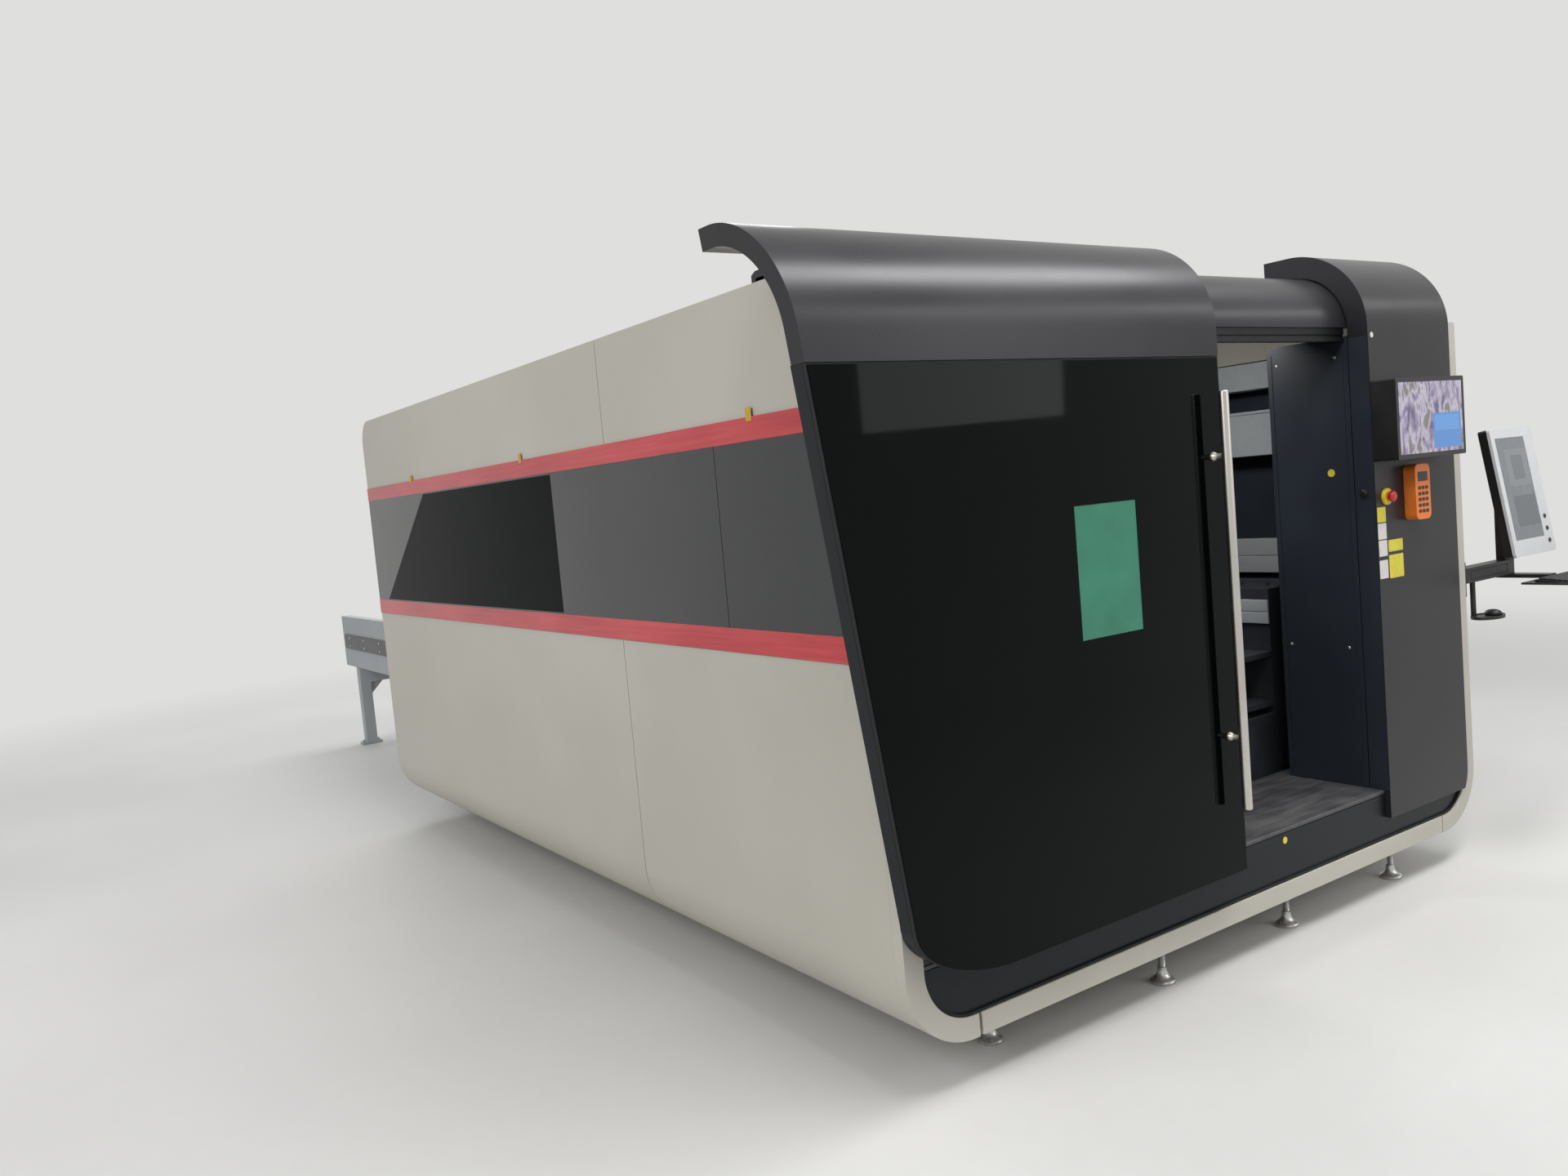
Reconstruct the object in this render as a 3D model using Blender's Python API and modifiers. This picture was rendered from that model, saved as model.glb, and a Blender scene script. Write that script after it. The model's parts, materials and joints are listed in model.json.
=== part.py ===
# Enclosed fibre laser cutting machine with a sliding door and a pallet exchange table.
# Lengths are metres. Sizes are laid out from the front of the pale rim (y = 0), the middle
# of the enclosure (x = 0) and the floor (z = 0); the root empty then brings the middle of
# the whole footprint to the origin.

import math

import bmesh
import bpy

# Fits
SEAT = 0.0003
RUNNING = 0.0003
SHEET_GAP = 0.001
CORNER_GAP = 0.0006

# Pale enclosure
SIDE_AISLE = 0.248
REAR_ROOM = 0.497
SHELL_BASE = 0.144
SHELL_TOP = 2.230
CORNER_RADIUS = 0.227
REAR_RADIUS = 0.126
SKIN = 0.010
SKIN_SEAM_Y = 1.434
SEAM = 0.003
RIM_WIDTH = 0.064
RIM_DEPTH = 0.040
RIM_SEAM_INSET = 0.248
RIM_DROP = 0.160
ROOF_DROP = 0.015
ARC_STEPS = 10

# Broken edges, and facets of round bodies
FINE_EDGE = 0.002
SHEET_EDGE = 0.003
HOOD_EDGE = 0.004
BEAM_EDGE = 0.006
BLOCK_EDGE = 0.010
PIN_SIDES = 16
BAR_SIDES = 24
DUCT_SIDES = 36
TRAY_SIDES = 28
HOOD_STEPS = 14
REMOTE_STEPS = 4

# Coloured band along both sides
BAND_LOW = 1.190
LOW_STRIPE = 0.073
BAND_HIGH = 1.872
HIGH_STRIPE = 0.068
BAND_START = 0.003
BAND_END_GAP = 0.008
STRIPE_THICK = 0.006
BAND_THICK = 0.004
BAND_JOINT_Y = 0.700
STRIPE_EDGE = 0.0015
WINDOW_EDGE = 0.006
WINDOW_START = 1.909
WINDOW_TOP_END = 3.430
WINDOW_REAR_GAP = 0.177

# Dark front
BASE_FRONT = 0.012
BASE_THICK = 0.020
SILL_TOP = 0.385
SILL_THICK = 0.015
SILL_DEPTH = 0.444
DOORWAY_WIDTH = 0.925
FIXED_PANEL_LAP = 0.028
FIXED_PANEL_GAP = 0.005
COVER_WIDTH = 0.551
COVER_FRONT = -0.010
COVER_BASE = 0.285
COVER_THICK = 0.075
COVER_SETDOWN = 0.015
COVER_RADIUS = 0.290
COVER_REAR = 0.380
CABINET_DEPTH = 0.324
CABINET_DROP = 0.040
CABINET_SIDE_GAP = 0.014
MID_FRONT = 0.070
MID_SETDOWN = 0.010
MID_RADIUS = 0.203
MID_THICK = 0.020
MID_REAR = 0.420
TRACK_FRONT = 0.075
TRACK_THICK = 0.020
TRACK_DROP = 0.049
TRACK_END_GAP = 0.005

# Sliding door
DOOR_THICK = 0.060
DOOR_CLEAR = 0.004
DOOR_BASE = 0.338
DOOR_TOP_DROP = 0.061
DOOR_LAP_LOW = 0.006
DOOR_LAP_TOP = 0.197
DOOR_SLANT_BASE = 0.520
DOOR_CORNER = 0.354
GLASS_THICK = 0.014
GLASS_INSET = 0.004
HOOD_RISE = 0.082
HOOD_RADIUS = 0.298
HOOD_THICK = 0.060
HOOD_REAR = 0.275
HANGER_SINK = 0.020
SAFETY_LEFT = 0.678
SAFETY_WIDTH = 0.256
SAFETY_LOW = 1.165
SAFETY_HEIGHT = 0.377
SAFETY_LEDGE = 0.010
HANDLE_INSET = 0.054
HANDLE_REACH = 0.050
HANDLE_RADIUS = 0.015
HANDLE_LOW = 0.554
HANDLE_HIGH = 1.840
STUD_RADIUS = 0.010
STUD_LOW = 0.777
STUD_HIGH = 1.645
HANGER_WIDTH = 0.120
HANGER_INSET = 0.220
HANGER_DROP = 0.025
HANGER_THICK = 0.012
SHOE_BASE = 0.342
SHOE_TOP = 0.354

# Levelling feet
FOOT_RADIUS = 0.040
FOOT_ROD_RADIUS = 0.012
FOOT_EDGE = 0.002
FOOT_PAD_RIM = 0.012
FOOT_PAD_TOP = 0.016
FOOT_NECK_RADIUS = 0.015
FOOT_NECK_TOP = 0.034
FOOT_NUT_RADIUS = 0.021
FOOT_NUT_BASE = 0.040
FOOT_NUT_TOP = 0.058
FRONT_FEET_Y = 0.100
CORNER_FOOT_Y = 0.190
FOOT_INSET = 0.448
FOOT_REAR_INSET = 0.137
FOOT_PITCH = 1.400

# Machine bed
BED_FRONT = 0.520
BED_REAR_GAP = 0.087
BED_CLEAR = 0.150
BED_WALL = 0.250
BED_RISE = 0.250
RAIL_INSET = 0.120
RAIL_WIDTH = 0.040
RAIL_HEIGHT = 0.025
CROSS_DEPTH = 0.080
CROSS_DROP = 0.050
TRAY_LOW = 1.630
TRAY_HEIGHT = 0.190
TRAY_WIDTH = 0.130

# Gantry and cutting head
GANTRY_PARK = 0.750
GANTRY_DEPTH = 0.260
BEAM_HEIGHT = 0.240
GANTRY_CHAMFER = 0.040
BEAM_RISE = 0.160
TRUCK_IN = 0.090
TRUCK_OUT = 0.150
CARRIAGE_X = 0.350
CARRIAGE_WIDTH = 0.260
CARRIAGE_THICK = 0.070
CARRIAGE_DROP = 0.025
CARRIAGE_RISE = 0.120
HEAD_RADIUS = 0.045
HEAD_REACH = 0.065
HEAD_DROP = 0.060
HEAD_SHOULDER = 0.020
HEAD_NECK_RADIUS = 0.027
HEAD_PLATE_HALF = 0.054
HEAD_PLATE_RISE = 0.045
HEAD_PLATE_DROP = 0.030
LENS_RADIUS = 0.036
LENS_STEP = 0.010
NOZZLE_GAP = 0.090
NOZZLE_RINGS = ((0.036, 0.100), (0.025, 0.070), (0.016, 0.030), (0.006, 0.0))

# Pallets and exchange table
PALLET_HALF = 0.800
PALLET_LENGTH = 3.040
PALLET_HEIGHT = 0.120
PALLET_BORDER = 0.060
PALLET_INSET = 0.330
SLAT_PITCH = 0.095
SLAT_THICK = 0.010
LEDGE = 0.040
LEDGE_THICK = 0.020
UPPER_LEVEL = 0.850
LOWER_LEVEL = 0.650
EXCHANGE_GAP = 0.535
TABLE_OVERRUN = 0.035
TABLE_CLEAR = 0.042
TABLE_WEB = 0.062
TABLE_DROP = 0.050
TABLE_RISE = 0.020
SLOT_MARGIN = 0.016
TRESTLE_FRONT_GAP = 0.400
TRESTLE_REAR_GAP = 0.350
TRESTLE_DEPTH = 0.080
LEG_WIDTH = 0.080
LEG_PAD = 0.035
LEG_PAD_THICK = 0.020
TRESTLE_RAIL_HEIGHT = 0.120
SPIGOT_INSET = 0.298
SPIGOT_Z = 0.500
SPIGOT_RADIUS = 0.150
SPIGOT_WALL = 0.006
SPIGOT_LENGTH = 0.110

# Monitor, stop button and hand remote on the right cover
MONITOR_INSET = 0.002
MONITOR_WIDTH = 0.460
MONITOR_LOW = 1.575
MONITOR_HEIGHT = 0.285
MONITOR_DEPTH = 0.090
BEZEL = 0.016
SCREEN_THICK = 0.004
STOP_INSET = 0.066
STOP_Z = 1.448
STOP_RING = 0.030
STOP_RING_TOP = 0.0255
STOP_RING_THICK = 0.012
STOP_RING_EDGE = 0.005
STOP_STEM = 0.011
STOP_CAP = 0.020
STOP_CAP_TOP = 0.015
STOP_CAP_THICK = 0.016
STOP_CAP_EDGE = 0.006
STOP_TRAVEL = 0.006
REMOTE_INSET = 0.188
REMOTE_LOW = 1.352
REMOTE_WIDTH = 0.100
REMOTE_HEIGHT = 0.200
REMOTE_THICK = 0.045
REMOTE_CORNER = 0.022

# Operator console on a swinging arm
ARM_PIVOT_OUT = 0.057
ARM_PIVOT_Y = 0.060
ARM_LENGTH = 0.395
ARM_RADIUS = 0.028
ARM_LOW = 1.0603
ARM_HEIGHT = 0.0594
BRACKET_WIDTH = 0.100
BRACKET_PLATE = 0.026
BRACKET_MARGIN = 0.030
LUG_THICK = 0.015
PIN_RADIUS = 0.010
POST_WIDTH = 0.060
POST_DEPTH = 0.050
POST_RISE = 0.020
TILT_Z = 1.385
TILT_DEG = -9.4
TILT_PIN = 0.006
EAR_THICK = 0.010
EAR_GAP = 0.003
EAR_BACK = 0.018
EAR_HALF = 0.024
PANEL_WIDTH = 0.340
PANEL_HEIGHT = 0.520
PANEL_THICK = 0.045
PANEL_OFFSET = 0.055
SCREEN_WIDTH = 0.235
SCREEN_HEIGHT = 0.415
SCREEN_RAISE = 0.015
TRAY_SHELF_WIDTH = 0.380
TRAY_SHELF_DEPTH = 0.220
TRAY_SHELF_THICK = 0.008
TRAY_FRONT = -0.300
SHELF_LAP = 0.035
KEYBOARD_WIDTH = 0.350
KEYBOARD_DEPTH = 0.130
KEYBOARD_THICK = 0.022
MOUSE_ARM = 0.115
MOUSE_STEM = 0.010
MOUSE_LOW = 0.910
MOUSE_PLATE_THICK = 0.012
MOUSE_OFFSET_X = 0.030
MOUSE_OFFSET_Y = -0.040
MOUSE_HALF_LENGTH = 0.080
MOUSE_HALF_WIDTH = 0.055

# Worked out once from the sizes above: bed and pallets first, the enclosure round them
PALLET_Y = BED_FRONT + PALLET_INSET
PALLET_TOP = UPPER_LEVEL + PALLET_HEIGHT
BED_INNER = PALLET_HALF + BED_CLEAR
BED_OUTER = BED_INNER + BED_WALL
BED_TOP = UPPER_LEVEL + BED_RISE
CROSS_TOP = LOWER_LEVEL - CROSS_DROP
HALF_WIDTH = BED_OUTER + SIDE_AISLE
SHELL_LENGTH = PALLET_Y + PALLET_LENGTH + REAR_ROOM
BED_REAR = SHELL_LENGTH - BED_REAR_GAP
RAIL_X = BED_INNER + RAIL_INSET
TRUCK_INNER = RAIL_X - TRUCK_IN
TRUCK_OUTER = RAIL_X + TRUCK_OUT
GANTRY_Y = BED_REAR - GANTRY_PARK
BEAM_BASE = BED_TOP + BEAM_RISE
GANTRY_TOP = BEAM_BASE + BEAM_HEIGHT
CARRIAGE_LOW = BEAM_BASE - CARRIAGE_DROP
CARRIAGE_HIGH = GANTRY_TOP + CARRIAGE_RISE
HEAD_TOP = CARRIAGE_HIGH - HEAD_DROP
HEAD_PLATE_LOW = CARRIAGE_LOW + HEAD_PLATE_RISE
NOZZLE_TIP = PALLET_TOP + NOZZLE_GAP
EXCHANGE_TRAVEL = PALLET_LENGTH + EXCHANGE_GAP
TABLE_END = PALLET_Y + EXCHANGE_TRAVEL + PALLET_LENGTH + TABLE_OVERRUN
TABLE_BASE = LOWER_LEVEL - TABLE_DROP
TABLE_TOP = PALLET_TOP + TABLE_RISE
TRESTLE_FRONT_Y = BED_REAR + TRESTLE_FRONT_GAP
TRESTLE_REAR_Y = TABLE_END - TRESTLE_REAR_GAP
TRESTLE_RAIL = TABLE_BASE - TRESTLE_RAIL_HEIGHT
SPIGOT_X = SPIGOT_INSET - HALF_WIDTH
RIM_SEAM_X = HALF_WIDTH - RIM_SEAM_INSET
RIM_TOP = SHELL_TOP - RIM_DROP
COVER_ARC_Z = RIM_TOP - COVER_SETDOWN
MID_ARC_Z = RIM_TOP - MID_SETDOWN
TRACK_BASE = MID_ARC_Z - TRACK_DROP
FIXED_PANEL_TOP = TRACK_BASE - FIXED_PANEL_GAP
CABINET_TOP = RIM_TOP - CABINET_DROP
DOOR_TOP = TRACK_BASE - DOOR_TOP_DROP
HOOD_ARC_Z = DOOR_TOP + HOOD_RISE
HOOD_CREST = HOOD_ARC_Z + HOOD_RADIUS
HANGER_HIGH = MID_ARC_Z - HANGER_DROP
WINDOW_LOW_END = SHELL_LENGTH - WINDOW_REAR_GAP
FEET_X = HALF_WIDTH - FOOT_INSET
FEET_REAR_Y = SHELL_LENGTH - FOOT_REAR_INSET
RIM_INNER = HALF_WIDTH - RIM_WIDTH
SKIN_INNER = HALF_WIDTH - SKIN
CORNER_X = HALF_WIDTH - CORNER_RADIUS
CORNER_Z = SHELL_BASE + CORNER_RADIUS
FLOOR_TOP = SHELL_BASE + SKIN + SEAT
SILL_BASE = SILL_TOP - SILL_THICK
ROOF_TOP = SHELL_TOP - ROOF_DROP
COVER_LEFT = RIM_INNER - COVER_WIDTH
DOOR_RIGHT = COVER_LEFT - DOORWAY_WIDTH
DOOR_LOW_LEFT = -(HALF_WIDTH + DOOR_LAP_LOW)
DOOR_TOP_LEFT = -(HALF_WIDTH + DOOR_LAP_TOP)
DOOR_BACK = -DOOR_CLEAR
DOOR_FRONT = DOOR_BACK - DOOR_THICK
DOOR_SLANT = (DOOR_TOP_LEFT - DOOR_LOW_LEFT) / (DOOR_TOP - DOOR_SLANT_BASE)
GLASS_BACK = DOOR_FRONT + GLASS_THICK
TABLE_INNER = PALLET_HALF + TABLE_CLEAR
TABLE_OUTER = TABLE_INNER + TABLE_WEB
ARM_X = HALF_WIDTH + ARM_PIVOT_OUT
HEAD_X = ARM_X + ARM_LENGTH
ARM_HIGH = ARM_LOW + ARM_HEIGHT
LEFT_END = DOOR_LOW_LEFT + DOOR_SLANT * (HOOD_CREST - DOOR_SLANT_BASE)
RIGHT_END = HEAD_X + TRAY_SHELF_WIDTH / 2
MIDDLE_X = (LEFT_END + RIGHT_END) / 2
MIDDLE_Y = (TRAY_FRONT + TABLE_END) / 2

# Colour, roughness, metallic and alpha of each finish
FINISHES = {
    "cream_paint": ((0.62, 0.60, 0.54), 0.42, 0.0, 1.0),
    "charcoal_paint": ((0.050, 0.050, 0.055), 0.45, 0.2, 1.0),
    "black_glass": ((0.012, 0.014, 0.018), 0.06, 0.0, 1.0),
    "grey_acrylic": ((0.060, 0.065, 0.064), 0.12, 0.0, 1.0),
    "red_acrylic": ((0.54, 0.045, 0.055), 0.25, 0.0, 1.0),
    "green_filter": ((0.05, 0.55, 0.30), 0.10, 0.0, 0.6),
    "grey_paint": ((0.42, 0.44, 0.46), 0.50, 0.0, 1.0),
    "bare_steel": ((0.55, 0.55, 0.56), 0.35, 1.0, 1.0),
    "slat_steel": ((0.20, 0.18, 0.17), 0.60, 0.8, 1.0),
    "black_plastic": ((0.020, 0.020, 0.022), 0.45, 0.0, 1.0),
    "pale_plastic": ((0.68, 0.70, 0.72), 0.40, 0.0, 1.0),
    "orange_plastic": ((0.90, 0.28, 0.03), 0.40, 0.0, 1.0),
    "yellow_plastic": ((0.85, 0.65, 0.03), 0.40, 0.0, 1.0),
    "red_plastic": ((0.70, 0.03, 0.03), 0.35, 0.0, 1.0),
    "screen_glass": ((0.16, 0.18, 0.19), 0.15, 0.0, 1.0),
}

# Turns of a flat outline's own plane into the named world plane
PLANES = {
    "XY": (0.0, 0.0, 0.0),
    "XZ": (math.pi / 2, 0.0, 0.0),
    "YZ": (math.pi / 2, 0.0, math.pi / 2),
}

for old in list(bpy.data.objects):
    bpy.data.objects.remove(old, do_unlink=True)

parts = bpy.data.collections.new("laser_cutting_machine")
cutters = bpy.data.collections.new("cutters")
bpy.context.scene.collection.children.link(parts)
bpy.context.scene.collection.children.link(cutters)


def arc(centre, radius, first, last, steps=ARC_STEPS):
    """Points on an arc between two angles in degrees, both ends included."""
    points = []
    for step in range(steps + 1):
        angle = math.radians(first + (last - first) * step / steps)
        points.append((centre[0] + radius * math.cos(angle), centre[1] + radius * math.sin(angle)))
    return points


def circle(centre, radius, sides):
    """Points round a circle, each once."""
    return arc(centre, radius, 0, 360, sides)[:-1]


def mirrored(points):
    """The outline on the other side of the middle plane, wound the same way."""
    return [(-u, v) for u, v in reversed(points)]


def thickened(path, thickness):
    """The outline of a bent sheet: a path and its offset to the right-hand side."""
    offset = []
    for index, (u, v) in enumerate(path):
        before = path[max(index - 1, 0)]
        after = path[min(index + 1, len(path) - 1)]
        normals = []
        for start, end in ((before, (u, v)), ((u, v), after)):
            length = math.hypot(end[0] - start[0], end[1] - start[1])
            if length > 0:
                normals.append(((end[1] - start[1]) / length, -(end[0] - start[0]) / length))
        mean_u = sum(n[0] for n in normals) / len(normals)
        mean_v = sum(n[1] for n in normals) / len(normals)
        scale = thickness / (mean_u ** 2 + mean_v ** 2)
        offset.append((u + mean_u * scale, v + mean_v * scale))
    return list(path) + offset[::-1]


def box_outline(u0, u1, v0, v1):
    """A rectangle between two corners."""
    return [(u0, v0), (u1, v0), (u1, v1), (u0, v1)]


def add_mesh(name, mesh, location, rotation):
    """An object for a mesh, in the parts collection."""
    piece = bpy.data.objects.new(name, mesh)
    piece.location = location
    piece.rotation_euler = rotation
    parts.objects.link(piece)
    return piece


def prism(name, outline, plane, start, end, holes=()):
    """A flat outline in the named plane, extruded from start to end across it."""
    curve = bpy.data.curves.new(name + "_outline", "CURVE")
    curve.dimensions = "2D"
    curve.fill_mode = "BOTH"
    curve.extrude = (end - start) / 2
    for loop in (outline, *holes):
        spline = curve.splines.new("POLY")
        spline.points.add(len(loop) - 1)
        for point, (u, v) in zip(spline.points, loop):
            point.co = (u, v, 0.0, 1.0)
        spline.use_cyclic_u = True
    guide = bpy.data.objects.new(name + "_outline", curve)
    parts.objects.link(guide)
    graph = bpy.context.evaluated_depsgraph_get()
    mesh = bpy.data.meshes.new_from_object(guide.evaluated_get(graph))
    mesh.name = name
    bpy.data.objects.remove(guide, do_unlink=True)
    work = bmesh.new()
    work.from_mesh(mesh)
    bmesh.ops.remove_doubles(work, verts=work.verts, dist=0.00001)
    bmesh.ops.recalc_face_normals(work, faces=work.faces)
    work.to_mesh(mesh)
    work.free()
    middle = (start + end) / 2
    location = {"XY": (0, 0, middle), "XZ": (0, middle, 0), "YZ": (middle, 0, 0)}[plane]
    return add_mesh(name, mesh, location, PLANES[plane])


def block(name, x0, x1, y0, y1, z0, z1):
    """A box between two corners, from a cube primitive with its scale applied."""
    mesh = bpy.data.meshes.new(name)
    work = bmesh.new()
    bmesh.ops.create_cube(work, size=1.0)
    bmesh.ops.scale(work, vec=(x1 - x0, y1 - y0, z1 - z0), verts=work.verts)
    work.to_mesh(mesh)
    work.free()
    return add_mesh(name, mesh, ((x0 + x1) / 2, (y0 + y1) / 2, (z0 + z1) / 2), (0, 0, 0))


def rod(name, radius, axis, start, end, centre, sides=PIN_SIDES):
    """A round bar along X, Y or Z; centre gives its two other coordinates in order."""
    mesh = bpy.data.meshes.new(name)
    work = bmesh.new()
    bmesh.ops.create_cone(work, cap_ends=True, segments=sides, radius1=radius, radius2=radius,
                          depth=end - start)
    work.to_mesh(mesh)
    work.free()
    mesh.shade_smooth()
    mesh.set_sharp_from_angle(angle=math.radians(40))
    middle = (start + end) / 2
    if axis == "X":
        return add_mesh(name, mesh, (middle, centre[0], centre[1]), (0, math.pi / 2, 0))
    if axis == "Y":
        return add_mesh(name, mesh, (centre[0], middle, centre[1]), (math.pi / 2, 0, 0))
    return add_mesh(name, mesh, (centre[0], centre[1], middle), (0, 0, 0))


def turned(name, profile, location, sides, rotation=(0, 0, 0)):
    """A turned piece: its (radius, height) profile, top to bottom, with a Screw modifier."""
    mesh = bpy.data.meshes.new(name)
    work = bmesh.new()
    corners = [work.verts.new((radius, 0.0, height)) for radius, height in profile]
    for upper, lower in zip(corners, corners[1:]):
        work.edges.new((upper, lower))
    work.to_mesh(mesh)
    work.free()
    piece = add_mesh(name, mesh, location, rotation)
    screw = piece.modifiers.new("turn", "SCREW")
    screw.steps = sides
    screw.render_steps = sides
    screw.use_merge_vertices = True
    screw.merge_threshold = 0.0001
    screw.use_smooth_shade = True
    return piece


operands = {}


def combine(piece, other, operation):
    """Joins another shape to a piece or cuts it away, and hides that shape."""
    parts.objects.unlink(other)
    cutters.objects.link(other)
    other.hide_render = True
    other.display_type = "WIRE"
    step = piece.modifiers.new(other.name, "BOOLEAN")
    step.operation = operation
    step.solver = "EXACT"
    step.object = other
    operands.setdefault(piece.name, []).append(other)
    return piece


def cut(piece, other):
    """Takes a shape out of a piece."""
    return combine(piece, other, "DIFFERENCE")


def join(piece, other):
    """Makes a shape part of a piece."""
    return combine(piece, other, "UNION")


def soften(piece, width, segments=1, angle=40):
    """Breaks a piece's sharp edges."""
    bevel = piece.modifiers.new("edges", "BEVEL")
    bevel.width = width
    bevel.segments = segments
    bevel.limit_method = "ANGLE"
    bevel.angle_limit = math.radians(angle)
    return piece


def empty(name, location, parent=None):
    """A joint's frame, at a place in the layout."""
    frame = bpy.data.objects.new(name, None)
    frame.empty_display_size = 0.1
    parts.objects.link(frame)
    frame["place"] = location
    if parent is None:
        frame.location = location
    else:
        frame.parent = parent
        frame.location = [a - b for a, b in zip(location, parent["place"])]
    return frame


def finish(piece, finish_name, frame):
    """Gives a piece its material, and hangs it and its cutters on a frame."""
    colour, roughness, metallic, alpha = FINISHES[finish_name]
    material = bpy.data.materials.new(piece.name + "_" + finish_name)
    material.use_nodes = True
    shader = material.node_tree.nodes["Principled BSDF"]
    shader.inputs["Base Color"].default_value = (*colour, 1.0)
    shader.inputs["Roughness"].default_value = roughness
    shader.inputs["Metallic"].default_value = metallic
    shader.inputs["Alpha"].default_value = alpha
    piece.data.materials.clear()
    piece.data.materials.append(material)
    place = frame["place"]
    for item in (piece, *operands.get(piece.name, [])):
        item.parent = frame
        item.location = [a - b for a, b in zip(item.location, place)]
    return piece


def u_path(inset, top):
    """The left half of the enclosure's section, from its top to the end of its lower arc."""
    radius = CORNER_RADIUS - inset
    first = 180.0
    path = []
    if top > CORNER_Z:
        path.append((-(HALF_WIDTH - inset), top))
    else:
        first += math.degrees(math.asin((CORNER_Z - top) / radius))
    return path + arc((-CORNER_X, CORNER_Z), radius, first, 270)


def side_outline(thickness, top):
    """The left-hand sheet of the enclosure, folded under to the seam."""
    path = u_path(0.0, top) + [(-(RIM_SEAM_X + SEAM / 2), SHELL_BASE)]
    return thickened(path[::-1], thickness)


def corner_cutter(name, centre, radius, first, plane, start, end):
    """Cuts a square corner down to a rounded one; first is the arc's starting angle."""
    curve = arc(centre, radius, first, first + 90)
    reach = radius * 1.5
    start_dir = (math.cos(math.radians(first)), math.sin(math.radians(first)))
    end_dir = (math.cos(math.radians(first + 90)), math.sin(math.radians(first + 90)))
    outer = [
        (centre[0] + end_dir[0] * reach, centre[1] + end_dir[1] * reach),
        (centre[0] + (start_dir[0] + end_dir[0]) * reach,
         centre[1] + (start_dir[1] + end_dir[1]) * reach),
        (centre[0] + start_dir[0] * reach, centre[1] + start_dir[1] * reach),
    ]
    return prism(name, curve + outer, plane, start, end)


# Frames of the joints
root = empty("machine_frame", (-MIDDLE_X, -MIDDLE_Y, 0.0))
root["place"] = (0.0, 0.0, 0.0)
door_frame = empty("door_slide", (DOOR_RIGHT, DOOR_BACK, DOOR_TOP), root)
gantry_frame = empty("gantry_slide", (0.0, GANTRY_Y, BED_TOP), root)
carriage_frame = empty("carriage_slide", (CARRIAGE_X, GANTRY_Y, BEAM_BASE), gantry_frame)
head_frame = empty("head_slide", (CARRIAGE_X, GANTRY_Y, NOZZLE_TIP), carriage_frame)
upper_frame = empty("upper_pallet_slide", (0.0, PALLET_Y, UPPER_LEVEL), root)
lower_frame = empty("lower_pallet_slide", (0.0, PALLET_Y + EXCHANGE_TRAVEL, LOWER_LEVEL), root)
arm_frame = empty("console_arm_hinge", (ARM_X, ARM_PIVOT_Y, ARM_LOW), root)
console_frame = empty("console_swivel", (HEAD_X, ARM_PIVOT_Y, ARM_LOW), arm_frame)
panel_frame = empty("panel_tilt", (HEAD_X, ARM_PIVOT_Y, TILT_Z), console_frame)
mouse_frame = empty("mouse_swivel", (ARM_X + MOUSE_ARM, ARM_PIVOT_Y, ARM_LOW), arm_frame)
stop_frame = empty("stop_press", (COVER_LEFT + STOP_INSET, COVER_FRONT, STOP_Z), root)


# Pale rim round the front
def front_rim():
    left = side_outline(RIM_WIDTH, RIM_TOP)
    for name, outline in (("front_rim_left", left), ("front_rim_right", mirrored(left))):
        piece = prism(name, outline, "XZ", 0.0, RIM_DEPTH)
        finish(soften(piece, FINE_EDGE), "cream_paint", root)
    seam = RIM_SEAM_X - SEAM / 2
    piece = block("front_rim_bottom", -seam, seam, 0.0, RIM_DEPTH, SHELL_BASE,
                  SHELL_BASE + RIM_WIDTH)
    finish(soften(piece, FINE_EDGE), "cream_paint", root)


# Side sheets, each folded under at a rounded lower corner
def side_skins():
    spans = (("front", RIM_DEPTH + SEAT, SKIN_SEAM_Y - SEAM / 2),
             ("rear", SKIN_SEAM_Y + SEAM / 2, SHELL_LENGTH))
    front_radius = SHELL_TOP - RIM_TOP
    left = side_outline(SKIN, SHELL_TOP)
    for side, outline in (("left", left), ("right", mirrored(left))):
        sign = -1 if side == "left" else 1
        across = sorted((sign * (HALF_WIDTH - 2 * SKIN), sign * (HALF_WIDTH + SKIN)))
        for span, start, end in spans:
            name = "side_skin_" + side + "_" + span
            piece = prism(name, outline, "XZ", start, end)
            if span == "front":
                centre = (start + front_radius, RIM_TOP)
                corner = corner_cutter(name + "_corner", centre, front_radius, 90, "YZ", *across)
            else:
                centre = (end - REAR_RADIUS, SHELL_TOP - REAR_RADIUS)
                corner = corner_cutter(name + "_corner", centre, REAR_RADIUS, 0, "YZ", *across)
            finish(cut(piece, corner), "cream_paint", root)


# Levelling foot: pad, collar, lock nut and threaded rod
def foot_profile(top):
    return [
        (0.0, top),
        (FOOT_ROD_RADIUS, top),
        (FOOT_ROD_RADIUS, FOOT_NUT_TOP),
        (FOOT_NUT_RADIUS, FOOT_NUT_TOP),
        (FOOT_NUT_RADIUS, FOOT_NUT_BASE),
        (FOOT_NECK_RADIUS, FOOT_NECK_TOP),
        (FOOT_RADIUS - FOOT_EDGE, FOOT_PAD_TOP),
        (FOOT_RADIUS, FOOT_PAD_RIM),
        (FOOT_RADIUS, 0.0),
        (0.0, 0.0),
    ]


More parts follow.
